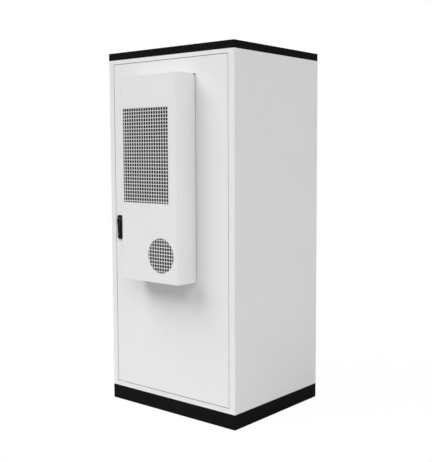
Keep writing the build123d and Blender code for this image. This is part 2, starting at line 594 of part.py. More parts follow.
# The door's skin is a flat sheet, and its folded edges are a channel welded round the skin's back.
with BuildPart() as door_panel:
    block((-DOOR_X, DOOR_X), (FRONT, SKIN_BACK), (DOOR_BOTTOM, DOOR_TOP))
    for duct_z, duct_height in DUCTS:
        block((AC_MID_X - DUCT_WIDTH / 2, AC_MID_X + DUCT_WIDTH / 2), (FRONT, SKIN_BACK),
              (duct_z - duct_height / 2, duct_z + duct_height / 2), mode=Mode.SUBTRACT)
    hole = SPINDLE_RADIUS + 2 * FIT_GAP
    block((HANDLE_X - hole, HANDLE_X + hole), (FRONT, SKIN_BACK), (SPINDLE_Z - hole, SPINDLE_Z + hole),
          mode=Mode.SUBTRACT)
finish(door_panel.part, "door_panel")

with BuildPart() as door_edges:
    block((-DOOR_X, DOOR_X), (SKIN_BACK, DOOR_BACK), (DOOR_BOTTOM, DOOR_TOP))
    block((-DOOR_X + SHEET, DOOR_X - SHEET), (SKIN_BACK, DOOR_BACK - SHEET),
          (DOOR_BOTTOM + SHEET, DOOR_TOP - SHEET), mode=Mode.SUBTRACT)
    block((-DOOR_X + DOOR_FLANGE, DOOR_X - DOOR_FLANGE), (SKIN_BACK, DOOR_BACK),
          (DOOR_BOTTOM + DOOR_FLANGE, DOOR_TOP - DOOR_FLANGE), mode=Mode.SUBTRACT)
    for hinge_z in HINGE_HEIGHTS:                       # room for the hinge's arm
        block((DOOR_X - DOOR_FLANGE, DOOR_X), (SKIN_BACK, DOOR_BACK),
              (hinge_z - NOTCH_HEIGHT / 2, hinge_z + NOTCH_HEIGHT / 2), mode=Mode.SUBTRACT)
    slot_y = (ROD_FRONT - SHEET, ROD_BACK + SHEET)
    block((upper_rod_x[0] - SHEET, upper_rod_x[1] + SHEET), slot_y, (DOOR_TOP - SHEET, DOOR_TOP),
          mode=Mode.SUBTRACT)
    block((lower_rod_x[0] - SHEET, lower_rod_x[1] + SHEET), slot_y, (DOOR_BOTTOM, DOOR_BOTTOM + SHEET),
          mode=Mode.SUBTRACT)
finish(door_edges.part, "door_edges")

with BuildPart() as door_inner_ring:
    ring_mid = (SEAL_BOTTOM + SEAL_TOP) / 2
    ring_height = SEAL_TOP - SEAL_BOTTOM
    with BuildSketch(facing(RING_BACK)):
        with Locations((0, ring_mid)):
            Rectangle(2 * (SEAL_X + RING_OUT), ring_height + 2 * RING_OUT)
            Rectangle(2 * (SEAL_X - RING_IN), ring_height - 2 * RING_IN, mode=Mode.SUBTRACT)
    extrude(amount=RING_BACK - SKIN_BACK)
    with BuildSketch(facing(RING_BACK - RING_WALL)):
        with Locations((0, ring_mid)):
            out = RING_OUT - RING_WALL
            inner = RING_IN - RING_WALL
            Rectangle(2 * (SEAL_X + out), ring_height + 2 * out)
            Rectangle(2 * (SEAL_X - inner), ring_height - 2 * inner, mode=Mode.SUBTRACT)
    extrude(amount=RING_BACK - RING_WALL - SKIN_BACK, mode=Mode.SUBTRACT)
finish(door_inner_ring.part, "door_inner_ring")

with BuildPart() as door_gasket:
    with BuildSketch(facing(GASKET_BACK)):
        with Locations((0, ring_mid)):
            Rectangle(2 * (SEAL_X + GASKET_HALF), ring_height + 2 * GASKET_HALF)
            Rectangle(2 * (SEAL_X - GASKET_HALF), ring_height - 2 * GASKET_HALF, mode=Mode.SUBTRACT)
    extrude(amount=GASKET_BACK - RING_BACK)
finish(door_gasket.part, "door_gasket")

with BuildPart() as door_stiffeners:
    hat_x = (-SEAL_X + RING_IN + FIT_GAP, SEAL_X - RING_IN - FIT_GAP)
    hat_step = (AC_BOTTOM - SEAL_BOTTOM) / (STIFFENERS + 1)
    for hat_z in [SEAL_BOTTOM + (k + 1) * hat_step for k in range(STIFFENERS)]:
        crown = STIFFENER_CROWN / 2
        block(hat_x, (SKIN_BACK, SKIN_BACK + STIFFENER_DEPTH), (hat_z - crown, hat_z + crown))
        block(hat_x, (SKIN_BACK, SKIN_BACK + STIFFENER_DEPTH - RING_WALL),
              (hat_z - crown + RING_WALL, hat_z + crown - RING_WALL), mode=Mode.SUBTRACT)
        for foot_z in (hat_z - crown - STIFFENER_FOOT, hat_z + crown):
            block(hat_x, (SKIN_BACK, SKIN_BACK + RING_WALL), (foot_z, foot_z + STIFFENER_FOOT))
finish(door_stiffeners.part, "door_stiffeners")

# =============================== hinges ===============================
with BuildPart() as hinge_arms:
    for hinge_z in HINGE_HEIGHTS:
        with BuildSketch(Plane.XY.offset(hinge_z - KNUCKLE_HEIGHT / 2)):
            arm_left = PIVOT_X - ARM_FAR
            with Locations(((arm_left + OPEN_X) / 2, WEB_FRONT - ARM_STEEL / 2)):
                Rectangle(OPEN_X - arm_left, ARM_STEEL)
            with Locations(((arm_left + PIVOT_X - ARM_NEAR) / 2, (PIVOT_Y + WEB_FRONT) / 2)):
                Rectangle(ARM_FAR - ARM_NEAR, WEB_FRONT - PIVOT_Y)
            with Locations((PIVOT_X, PIVOT_Y)):
                Circle(KNUCKLE_RADIUS)
                Circle(HINGE_PIN_RADIUS + RUNNING_GAP, mode=Mode.SUBTRACT)
        extrude(amount=KNUCKLE_HEIGHT)
finish(hinge_arms.part, "hinge_arms")

lug_out = KNUCKLE_HEIGHT / 2 + LUG_GAP
with BuildPart() as hinge_lugs:
    for hinge_z in HINGE_HEIGHTS:
        for lug_z in (hinge_z + lug_out, hinge_z - lug_out - LUG_HEIGHT):
            with BuildSketch(Plane.XY.offset(lug_z)):
                with Locations((PIVOT_X, (PIVOT_Y + SKIN_BACK) / 2)):
                    Rectangle(2 * KNUCKLE_RADIUS, PIVOT_Y - SKIN_BACK)
                with Locations((PIVOT_X, PIVOT_Y)):
                    RegularPolygon(KNUCKLE_RADIUS, OCTAGON, major_radius=False, rotation=180 / OCTAGON)
                    Circle(HINGE_PIN_RADIUS, mode=Mode.SUBTRACT)
            extrude(amount=LUG_HEIGHT)
finish(hinge_lugs.part, "hinge_lugs")

with BuildPart() as hinge_pins:
    for hinge_z in HINGE_HEIGHTS:
        with BuildSketch(Plane.XY.offset(hinge_z - lug_out - LUG_HEIGHT)):
            with Locations((PIVOT_X, PIVOT_Y)):
                Circle(HINGE_PIN_RADIUS)
        extrude(amount=2 * (lug_out + LUG_HEIGHT))
finish(hinge_pins.part, "hinge_pins")

# =============================== air conditioner ===============================
with BuildPart() as ac_gasket:
    with BuildSketch(facing(FRONT)):
        with Locations((AC_MID_X, AC_BOTTOM + AC_HEIGHT / 2)):
            Rectangle(AC_WIDTH - 2 * AC_GASKET_INSET, AC_HEIGHT - 2 * AC_GASKET_INSET)
            inset = AC_GASKET_INSET + AC_GASKET_WIDTH
            Rectangle(AC_WIDTH - 2 * inset, AC_HEIGHT - 2 * inset, mode=Mode.SUBTRACT)
    extrude(amount=AC_GASKET)
finish(ac_gasket.part, "ac_gasket")

with BuildPart() as ac_base_plate:
    block((AC_IN_LEFT, AC_IN_RIGHT), (AC_BASE_FRONT, AC_BASE_BACK),
          (AC_BOTTOM + AC_STEEL + FIT_GAP, AC_TOP - AC_STEEL - FIT_GAP))
    for duct_z, duct_height in DUCTS:
        block((AC_MID_X - DUCT_WIDTH / 2, AC_MID_X + DUCT_WIDTH / 2), (AC_BASE_FRONT, AC_BASE_BACK),
              (duct_z - duct_height / 2, duct_z + duct_height / 2), mode=Mode.SUBTRACT)
finish(ac_base_plate.part, "ac_base_plate")

with BuildPart() as ac_cover:
    cover_mid_y = (AC_FRONT + AC_BASE_BACK) / 2
    with BuildSketch(Plane.XY.offset(AC_BOTTOM)) as cover_outside:
        with Locations((AC_MID_X, cover_mid_y)):
            Rectangle(AC_WIDTH, AC_BASE_BACK - AC_FRONT)
        fillet(cover_outside.vertices().group_by(Axis.Y)[0], AC_CORNER)
    extrude(amount=AC_HEIGHT)
    with BuildSketch(Plane.XY.offset(AC_BOTTOM + AC_STEEL)) as cover_inside:
        with Locations((AC_MID_X, cover_mid_y + AC_STEEL / 2)):
            Rectangle(AC_WIDTH - 2 * AC_STEEL, AC_BASE_BACK - AC_FACE_BACK)
        fillet(cover_inside.vertices().group_by(Axis.Y)[0], AC_CORNER - AC_STEEL)
    extrude(amount=AC_HEIGHT - 2 * AC_STEEL, mode=Mode.SUBTRACT)
    with BuildSketch(facing(AC_FACE_BACK)):
        with Locations(((WINDOW_LEFT + WINDOW_RIGHT) / 2, (WINDOW_BOTTOM + WINDOW_TOP) / 2)):
            Rectangle(WINDOW_RIGHT - WINDOW_LEFT, WINDOW_TOP - WINDOW_BOTTOM)
        with Locations((ROUND_X, ROUND_Z)):
            Circle(ROUND_RADIUS)
    extrude(amount=AC_STEEL, mode=Mode.SUBTRACT)
finish(ac_cover.part, "ac_cover")

# Each grille is a welded lattice: flat strips lie across the window against the unit's face, and a second
# layer runs up and down behind them. Both are set out from one grid, so their open squares line up.
strip_front = (AC_FACE_BACK, AC_FACE_BACK + STRIP_STEEL)
strip_back = (AC_FACE_BACK + STRIP_STEEL + WELD_GAP, GRILLE_BACK)


def strips_between(first, last, origin):
    """Middles of the strips between two limits, on the grid whose open squares are centred on origin."""
    start = origin + HOLE_PITCH / 2
    low = ceil((first + STRIP_WIDTH / 2 - start) / HOLE_PITCH)
    high = floor((last - STRIP_WIDTH / 2 - start) / HOLE_PITCH)
    return [start + step * HOLE_PITCH for step in range(low, high + 1)]


def lattice(x, z, origin_x, origin_z):
    """Strips over the limits x and z, with open squares centred on the two origins."""
    half = STRIP_WIDTH / 2
    with BuildPart() as grille:
        for middle_z in strips_between(*z, origin_z):
            block(x, strip_front, (middle_z - half, middle_z + half))
        for middle_x in strips_between(*x, origin_x):
            block((middle_x - half, middle_x + half), strip_back, z)
    return grille.part


finish(lattice((WINDOW_LEFT - GRILLE_MARGIN_X, WINDOW_RIGHT + GRILLE_MARGIN_X),
               (WINDOW_BOTTOM - GRILLE_MARGIN_Z, WINDOW_TOP + GRILLE_MARGIN_Z),
               GRILLE_RIGHT, GRILLE_TOP), "condenser_grille")
round_half = ROUND_RADIUS + ROUND_LAP
finish(lattice((ROUND_X - round_half, ROUND_X + round_half), (ROUND_Z - round_half, ROUND_Z + round_half),
               GRILLE_RIGHT, ROUND_Z), "fan_grille")

with BuildPart() as ac_partition:
    block((AC_IN_LEFT, AC_IN_RIGHT), (PARTITION_Y - SHEET, PARTITION_Y),
          (PARTITION_FLOOR, AC_TOP - AC_STEEL - FIT_GAP))
    block((AC_IN_LEFT, AC_IN_RIGHT), (PARTITION_Y, AC_BASE_FRONT), (PARTITION_FLOOR, PARTITION_FLOOR + SHEET))
finish(ac_partition.part, "ac_partition")

with BuildPart() as ac_floor:
    floor_z = AC_BOTTOM + AC_STEEL + AC_FLOOR_RISE
    block((AC_IN_LEFT, AC_IN_RIGHT), (AC_FACE_BACK + AC_CORNER, AC_BASE_FRONT), (floor_z, floor_z + SHEET))
finish(ac_floor.part, "ac_floor")

with BuildPart() as condenser_coil:
    coil_x = (WINDOW_LEFT + COIL_GAP, WINDOW_RIGHT + COIL_GAP)
    coil_y = (GRILLE_BACK + COIL_GAP, GRILLE_BACK + COIL_GAP + COIL_DEPTH)
    block(coil_x, coil_y, (WINDOW_BOTTOM, WINDOW_TOP))
    for end_x in (coil_x[0] - COIL_END, coil_x[1]):
        block((end_x, end_x + COIL_END), (coil_y[0], PARTITION_Y - SHEET), (WINDOW_BOTTOM, WINDOW_TOP))
finish(condenser_coil.part, "condenser_coil")

with BuildPart() as evaporator_coil:
    coil_base = SUPPLY_Z + SUPPLY_HEIGHT / 2 + COIL_GAP
    coil_z = (coil_base, coil_base + EVAPORATOR_HEIGHT)
    coil_y = (PARTITION_Y + COIL_GAP, PARTITION_Y + COIL_GAP + EVAPORATOR_DEPTH)
    block(coil_x, coil_y, coil_z)
    for end_x in (coil_x[0] - COIL_END, coil_x[1]):
        block((end_x, end_x + COIL_END), (PARTITION_Y, AC_BASE_FRONT), coil_z)
finish(evaporator_coil.part, "evaporator_coil")

with BuildPart() as compressor:
    with BuildSketch(Plane.XY.offset(floor_z + SHEET)):
        with Locations((COMPRESSOR_X, (AC_FACE_BACK + AC_CORNER + AC_BASE_FRONT) / 2)):
            RegularPolygon(COMPRESSOR_FOOT_RADIUS, 3)
    extrude(amount=2 * SHEET)
    with BuildSketch(Plane.XY.offset(floor_z + 3 * SHEET)):
        with Locations((COMPRESSOR_X, (AC_FACE_BACK + AC_CORNER + AC_BASE_FRONT) / 2)):
            Circle(COMPRESSOR_RADIUS)
    extrude(amount=COMPRESSOR_HEIGHT)
finish(compressor.part, "compressor")

with BuildPart() as ac_controller:
    box_z = RETURN_Z - RETURN_HEIGHT / 2
    block((AC_IN_LEFT + COIL_GAP, AC_IN_LEFT + COIL_GAP + CONTROLLER_WIDTH),
          (PARTITION_Y - SHEET - CONTROLLER_DEPTH, PARTITION_Y - SHEET), (box_z, box_z + CONTROLLER_HEIGHT))
finish(ac_controller.part, "ac_controller")


def axial_fan(x, z, hub_front, depth, radius, hub_radius, shaft):
    """A fan of pitched blades on a hub that starts at hub_front, with its shaft between two y limits."""
    with BuildPart() as fan:
        with BuildSketch(facing(hub_front + depth)):
            with Locations((x, z)):
                RegularPolygon(hub_radius, 2 * FAN_BLADES, major_radius=False)
        extrude(amount=depth)
        tip = radius * cos(radians(FAN_TIP_ANGLE))
        half_tip = radius * sin(radians(FAN_TIP_ANGLE))
        half_root = half_tip / 3
        root = hub_radius * FAN_BLADE_ROOT
        for turn in range(FAN_BLADES):
            angle = radians(360 * turn / FAN_BLADES)
            out = Vector(cos(angle), 0, sin(angle))
            lean = Vector(0, -1, 0).rotate(Axis((0, 0, 0), out), FAN_PITCH_ANGLE)
            with BuildSketch(Plane(origin=(x, hub_front + depth / 2, z), x_dir=out, z_dir=lean)):
                Polygon((root, -half_root), (tip, -half_tip), (tip, half_tip), (root, half_root), align=None)
            extrude(amount=FAN_BLADE_STEEL / 2, both=True)
        with BuildSketch(facing(shaft[1])):
            with Locations((x, z)):
                Circle(FAN_SHAFT_RADIUS)
        extrude(amount=shaft[1] - shaft[0])
    return fan.part


fan_front = GRILLE_BACK + FAN_GRILLE_GAP
fan_back = fan_front + FAN_DEPTH
condenser_motor_y = fan_back + MOTOR_GAP
indoor_motor_y = PARTITION_Y + MOTOR_LENGTH
indoor_front = indoor_motor_y + MOTOR_GAP
finish(axial_fan(ROUND_X, ROUND_Z, fan_front, FAN_DEPTH, ROUND_RADIUS - FAN_CLEARANCE, FAN_HUB_RADIUS,
                 (fan_back, condenser_motor_y + FAN_SHAFT_REACH)), "condenser_fan")
finish(axial_fan(AC_MID_X, RETURN_Z, indoor_front, INDOOR_FAN_DEPTH, INDOOR_FAN_RADIUS, INDOOR_HUB_RADIUS,
                 (indoor_motor_y - FAN_SHAFT_REACH, indoor_front)), "indoor_fan")

with BuildPart() as fan_motors:
    for x, z, low_y, high_y, shaft_low, shaft_high in (
            (ROUND_X, ROUND_Z, condenser_motor_y, AC_BASE_FRONT, condenser_motor_y,
             condenser_motor_y + FAN_SHAFT_REACH + MOTOR_GAP),
            (AC_MID_X, RETURN_Z, PARTITION_Y, indoor_motor_y,
             indoor_motor_y - FAN_SHAFT_REACH - MOTOR_GAP, indoor_motor_y)):
        with BuildSketch(facing(high_y)):
            with Locations((x, z)):
                RegularPolygon(MOTOR_ACROSS / 2, OCTAGON, major_radius=False, rotation=180 / OCTAGON)
        extrude(amount=high_y - low_y)
        with BuildSketch(facing(shaft_high)):
            with Locations((x, z)):
                Circle(FAN_SHAFT_RADIUS + RUNNING_GAP)
        extrude(amount=shaft_high - shaft_low, mode=Mode.SUBTRACT)
finish(fan_motors.part, "fan_motors")

with BuildPart() as fan_shroud:
    with BuildSketch(facing(GRILLE_BACK + SHROUD_STEEL)):
        with Locations((ROUND_X, ROUND_Z)):
            Rectangle(2 * (ROUND_RADIUS + SHROUD_MARGIN), 2 * (ROUND_RADIUS + SHROUD_MARGIN))
            RegularPolygon(ROUND_RADIUS, SHROUD_SIDES, mode=Mode.SUBTRACT)
    extrude(amount=SHROUD_STEEL)
finish(fan_shroud.part, "fan_shroud")

# =============================== lock ===============================
with BuildPart() as handle_base:
    with BuildSketch(facing(FRONT)):
        with Locations((HANDLE_X, HANDLE_BOTTOM + HANDLE_HEIGHT / 2)):
            RectangleRounded(HANDLE_WIDTH, HANDLE_HEIGHT, BASE_CORNER)
    extrude(amount=BASE_DEPTH)
    chamfer(handle_base.faces().sort_by(Axis.Y)[0].edges(), BASE_CHAMFER)
    with BuildSketch(facing(FRONT)):
        with Locations((HANDLE_X, SPINDLE_Z)):
            Circle(SPINDLE_RADIUS + RUNNING_GAP)
    extrude(amount=BASE_DEPTH, mode=Mode.SUBTRACT)
finish(handle_base.part, "handle_base")

# The spindle turns in the escutcheon. Its cam's two pins work the rods' forks, one a quarter turn of travel
# up and one down, and the lever tips on a cross barrel at its front.
with BuildPart() as handle_spindle:
    with BuildSketch(facing(CAM_FRONT)):
        with Locations((HANDLE_X, SPINDLE_Z)):
            Circle(SPINDLE_RADIUS)
    extrude(amount=CAM_FRONT - BASE_FRONT)
    with BuildSketch(facing(CAM_BACK)):
        with Locations((HANDLE_X, SPINDLE_Z)):
            Rectangle(2 * CAM_REACH, 2 * SPINDLE_RADIUS, rotation=-45)
    extrude(amount=CAM_STEEL)
    with BuildSketch(facing(ROD_BACK)):
        with Locations((HANDLE_X - CRANK_RISE, SPINDLE_Z + CRANK_RISE),
                       (HANDLE_X + CRANK_RISE, SPINDLE_Z - CRANK_RISE)):
            Circle(CRANK_PIN_RADIUS)
    extrude(amount=ROD_BACK - CAM_BACK)
    neck = SPINDLE_NECK / 2
    block((HANDLE_X - neck, HANDLE_X + neck), (LEVER_MID_Y, BASE_FRONT),
          (SPINDLE_Z - SPINDLE_BARREL, SPINDLE_Z + SPINDLE_BARREL / 3))
    with BuildSketch(Plane.YZ.offset(HANDLE_X - neck)):
        with Locations((LEVER_MID_Y, SPINDLE_Z)):
            Circle(SPINDLE_BARREL)
    extrude(amount=SPINDLE_NECK)
    with BuildSketch(Plane.YZ.offset(HANDLE_X - neck)):
        with Locations((LEVER_MID_Y, SPINDLE_Z)):
            Circle(LIFT_PIN_RADIUS + RUNNING_GAP)
    extrude(amount=SPINDLE_NECK, mode=Mode.SUBTRACT)
finish(handle_spindle.part, "handle_spindle")

with BuildPart() as handle_lever:
    lever_round = LEVER_WIDTH / 2
    lever_top = SPINDLE_Z + lever_round
    with BuildSketch(facing(LEVER_BACK)):
        with Locations((HANDLE_X, (LEVER_BOTTOM + lever_top) / 2)):
            SlotOverall(lever_top - LEVER_BOTTOM, LEVER_WIDTH, rotation=90)
    extrude(amount=LEVER_DEPTH)
    # the grip thins towards its free end, and the head is cut back to clear the escutcheon when tipped
    half_depth = LEVER_DEPTH / 2
    lift = radians(LIFT_ANGLE)
    relief_start = (half_depth - half_depth * cos(lift)) / sin(lift)
    relief_top = (half_depth - lever_round * sin(lift)) / cos(lift)
    with BuildSketch(Plane.YZ.offset(HANDLE_X - lever_round)):
        with BuildLine():
            Polyline((LEVER_BACK, SPINDLE_Z + relief_start), (LEVER_MID_Y + relief_top, lever_top),
                     (LEVER_BACK, lever_top), close=True)
        make_face()
        with BuildLine():
            Polyline((LEVER_FRONT, SPINDLE_Z - lever_round), (LEVER_FRONT, LEVER_BOTTOM),
                     (LEVER_FRONT + LEVER_TAPER, LEVER_BOTTOM), close=True)
        make_face()
    extrude(amount=LEVER_WIDTH, mode=Mode.SUBTRACT)
    pocket = SPINDLE_NECK / 2 + FIT_GAP
    room = SPINDLE_BARREL + LEVER_GAP
    block((HANDLE_X - pocket, HANDLE_X + pocket), (LEVER_MID_Y - room, LEVER_BACK),
          (SPINDLE_Z - room, lever_top), mode=Mode.SUBTRACT)
    with BuildSketch(Plane.YZ.offset(HANDLE_X - lever_round)):
        with Locations((LEVER_MID_Y, SPINDLE_Z)):
            Circle(LIFT_PIN_RADIUS)
    extrude(amount=LEVER_WIDTH, mode=Mode.SUBTRACT)
    with BuildSketch(facing(LEVER_BACK)):
        with Locations((HANDLE_X, LEVER_BOTTOM + KEY_RISE)):
            Circle(KEY_RADIUS + RUNNING_GAP)
    extrude(amount=LEVER_DEPTH, mode=Mode.SUBTRACT)
finish(handle_lever.part, "handle_lever")

with BuildPart() as lever_pin:
    with BuildSketch(Plane.YZ.offset(HANDLE_X - lever_round + FIT_GAP)):
        with Locations((LEVER_MID_Y, SPINDLE_Z)):
            Circle(LIFT_PIN_RADIUS)
    extrude(amount=LEVER_WIDTH - 2 * FIT_GAP)
finish(lever_pin.part, "lever_pin")

with BuildPart() as key_cylinder:
    with BuildSketch(facing(LEVER_BACK - FIT_GAP)):
        with Locations((HANDLE_X, LEVER_BOTTOM + KEY_RISE)):
            Circle(KEY_RADIUS)
    extrude(amount=LEVER_DEPTH - LEVER_TAPER / 2)
    with BuildSketch(facing(LEVER_BACK - FIT_GAP - LEVER_DEPTH / 2)):
        with Locations((HANDLE_X, LEVER_BOTTOM + KEY_RISE)):
            Rectangle(KEY_SLOT_WIDTH, KEY_RADIUS)
    extrude(amount=LEVER_DEPTH, mode=Mode.SUBTRACT)
finish(key_cylinder.part, "key_cylinder")

fork_room = CRANK_PIN_RADIUS + ROD_SLOT_GAP
with BuildPart() as upper_rod:
    fork_z = SPINDLE_Z + CRANK_RISE
    block(upper_rod_x, (ROD_FRONT, ROD_BACK), (fork_z - fork_room - ROD_THICKNESS, DOOR_TOP - ROD_TIP_GAP))
    block((upper_rod_x[0], HANDLE_X - CRANK_RISE + fork_room), (ROD_FRONT, ROD_BACK),
          (fork_z - fork_room, fork_z + fork_room), mode=Mode.SUBTRACT)
finish(upper_rod.part, "upper_rod")

with BuildPart() as lower_rod:
    fork_z = SPINDLE_Z - CRANK_RISE
    block(lower_rod_x, (ROD_FRONT, ROD_BACK), (DOOR_BOTTOM + ROD_TIP_GAP, fork_z + fork_room + ROD_THICKNESS))
    block((HANDLE_X + CRANK_RISE - fork_room, lower_rod_x[1]), (ROD_FRONT, ROD_BACK),
          (fork_z - fork_room, fork_z + fork_room), mode=Mode.SUBTRACT)
finish(lower_rod.part, "lower_rod")

with BuildPart() as rod_guides:
    for rod_x, heights in ((upper_rod_x, (SPINDLE_Z + GUIDE_NEAR, DOOR_TOP - GUIDE_END)),
                           (lower_rod_x, (DOOR_BOTTOM + GUIDE_END, SPINDLE_Z - GUIDE_NEAR))):
        for guide_z in heights:
            out = FIT_GAP + GUIDE_STEEL
            block((rod_x[0] - out, rod_x[1] + out), (SKIN_BACK, ROD_BACK + out),
                  (guide_z - GUIDE_HEIGHT / 2, guide_z + GUIDE_HEIGHT / 2))
            block((rod_x[0] - FIT_GAP, rod_x[1] + FIT_GAP), (ROD_FRONT - FIT_GAP, ROD_BACK + FIT_GAP),
                  (guide_z - GUIDE_HEIGHT / 2, guide_z + GUIDE_HEIGHT / 2), mode=Mode.SUBTRACT)
finish(rod_guides.part, "rod_guides")
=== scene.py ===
"""Looks of the outdoor battery cabinet.

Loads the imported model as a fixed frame, gives each node its finish, and adds the pieces whose shape is made
here: rounded sheet edges, the air conditioner's cover and punched grilles, the moulded handle, screws, pack
fronts and the studio. Metres, +Z up, -Y towards the front door.
"""

import json
import logging
from dataclasses import dataclass, field
from enum import Enum
from math import cos, floor, pi, radians, sin, tau
from typing import Optional, Sequence, Union

import bmesh
import bpy
from mathutils import Euler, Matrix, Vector


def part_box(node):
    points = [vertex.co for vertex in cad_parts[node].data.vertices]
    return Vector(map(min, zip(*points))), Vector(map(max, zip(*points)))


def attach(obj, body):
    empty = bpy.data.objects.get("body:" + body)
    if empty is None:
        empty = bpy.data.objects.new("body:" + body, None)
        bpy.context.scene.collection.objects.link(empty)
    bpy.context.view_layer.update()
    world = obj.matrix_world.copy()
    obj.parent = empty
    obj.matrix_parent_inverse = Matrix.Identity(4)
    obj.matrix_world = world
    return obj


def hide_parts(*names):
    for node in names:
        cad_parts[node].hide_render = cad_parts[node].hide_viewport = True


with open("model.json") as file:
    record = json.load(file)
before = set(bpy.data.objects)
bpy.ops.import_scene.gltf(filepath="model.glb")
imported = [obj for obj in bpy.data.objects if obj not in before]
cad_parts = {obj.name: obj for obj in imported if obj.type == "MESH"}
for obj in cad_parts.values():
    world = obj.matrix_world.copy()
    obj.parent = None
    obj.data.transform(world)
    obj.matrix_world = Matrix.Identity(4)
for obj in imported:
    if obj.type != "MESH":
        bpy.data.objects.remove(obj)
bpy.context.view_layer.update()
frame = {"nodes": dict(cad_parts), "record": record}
MM = 0.001
ONE_POINT = 1e-6        # points nearer than this are the same point
UPRIGHT = 10 * MM       # an edge that rises less isn't an upright
SHARP = 0.01 * MM       # radius of a corner that's as good as sharp
FLAT = radians(1.0)     # faces that meet at less than this are one face
STEEP = 60.0            # degrees; leaves the facets of a curve as they are
FINE = 3                # edges in a rounding that's seen from near
WHITE = (1.0, 1.0, 1.0)

Colour = tuple[float, float, float]
Point2 = tuple[float, float]
Point3 = tuple[float, float, float]
Value = Union["Signal", float]
log = logging.getLogger("cabinet")


# ---------- shader maths ----------
@dataclass(frozen=True)
class Signal:
    """An output socket that takes part in Python expressions, each of which adds a Math node."""
    nodes: "Nodes"
    socket: bpy.types.NodeSocket

    def math(self, operation: str, first: Value, second: Value = 0.0) -> "Signal":
        """Add one Math node with one or two operands."""
        return self.nodes.node("ShaderNodeMath", {"operation": operation}, {0: first, 1: second})

    def __add__(self, other: Value) -> "Signal":
        """self + other."""
        return self.math("ADD", self, other)

    def __sub__(self, other: Value) -> "Signal":
        """self - other."""
        return self.math("SUBTRACT", self, other)

    def __rsub__(self, other: Value) -> "Signal":
        """other - self."""
        return self.math("SUBTRACT", other, self)

    def __mul__(self, other: Value) -> "Signal":
        """self * other."""
        return self.math("MULTIPLY", self, other)

    __radd__ = __add__
    __rmul__ = __mul__

    def wave(self, period: float) -> "Signal":
        """A sine between 0 and 1 that repeats every period."""
        return 0.5 + 0.5 * self.math("SINE", self * (tau / period))


class Nodes:
    """A node tree under construction."""

    def __init__(self, tree: bpy.types.NodeTree) -> None:
        """Take over a tree and empty it."""
        self.tree = tree
        self.tree.nodes.clear()

    def add(self, kind: str, settings: Optional[dict] = None,
            sockets: Optional[dict] = None) -> bpy.types.Node:
        """Add any node.

        Args:
            kind: The node's type.
            settings: The node's own settings.
            sockets: A value or a Signal for each input, by name or number.

        Returns:
            The node.
        """
        made = self.tree.nodes.new(kind)
        for name, value in (settings or {}).items():
            setattr(made, name, value)
        for name, value in (sockets or {}).items():
            if isinstance(value, Signal):
                self.tree.links.new(value.socket, made.inputs[name])
            else:
                made.inputs[name].default_value = value
        return made

    def node(self, kind: str, settings: Optional[dict] = None, sockets: Optional[dict] = None,
             output: Union[int, str] = 0) -> Signal:
        """Add any node, and take one of its outputs by name or number."""
        return Signal(self, self.add(kind, settings, sockets).outputs[output])

    def mix(self, factor: Value, first: Colour, second: Colour) -> Signal:
        """A colour between first and second."""
        return self.node("ShaderNodeMix", {"data_type": "RGBA"},
                         {0: factor, 6: (*first, 1.0), 7: (*second, 1.0)}, output=2)

    def surface(self, surface: Signal, kind: str = "ShaderNodeOutputMaterial") -> None:
        """Link a surface to a new output."""
        self.add(kind, sockets={"Surface": surface})


class Shader(Nodes):
    """The node tree of one material."""

    def __init__(self, name: str) -> None:
        """Make an empty material.

        Args:
            name: The material's name.
        """
        self.material = bpy.data.materials.new(name)
        self.material.use_nodes = True
        super().__init__(self.material.node_tree)
        self.place = self.node("ShaderNodeTexCoord", output="Object")

    def stretched(self, scale: Point3) -> Signal:
        """The place on the object, in metres, scaled by a factor for each axis."""
        return self.node("ShaderNodeVectorMath", {"operation": "MULTIPLY"}, {0: self.place, 1: scale})

    def axis(self, name: str) -> Signal:
        """One coordinate of the place on the object, in metres."""
        return self.node("ShaderNodeSeparateXYZ", sockets={0: self.place}, output=name)

    def noise(self, scale: float, detail: float = 2.0, place: Optional[Signal] = None) -> Signal:
        """Noise around one half, with scale lumps to the metre."""
        return self.node("ShaderNodeTexNoise", sockets={"Vector": place or self.place, "Scale": scale,
                                                        "Detail": detail})

    def cells(self, scale: float, output: str) -> Signal:
        """A cell pattern, scale cells to the metre: its Distance, or a Color that is random for each cell."""
        return self.node("ShaderNodeTexVoronoi", sockets={"Vector": self.place, "Scale": scale},
                         output=output)

    def ramp(self, value: Signal, low: float, high: float) -> Signal:
        """A smooth rise from 0 at low to 1 at high."""
        return self.node("ShaderNodeMapRange", {"interpolation_type": "SMOOTHSTEP"},
                         {"Value": value, "From Min": low, "From Max": high})

    def bump(self, height: Signal, strength: float, depth: float) -> Signal:
        """A normal from a height between 0 and 1, where a rise of 1 is depth metres."""
        return self.node("ShaderNodeBump",
                         sockets={"Height": height, "Strength": strength, "Distance": depth})

    def close(self, sockets: dict) -> bpy.types.Material:
        """Add a surface with these sockets and the output, and give the finished material."""
        self.surface(self.node("ShaderNodeBsdfPrincipled", sockets=sockets))
        return self.material


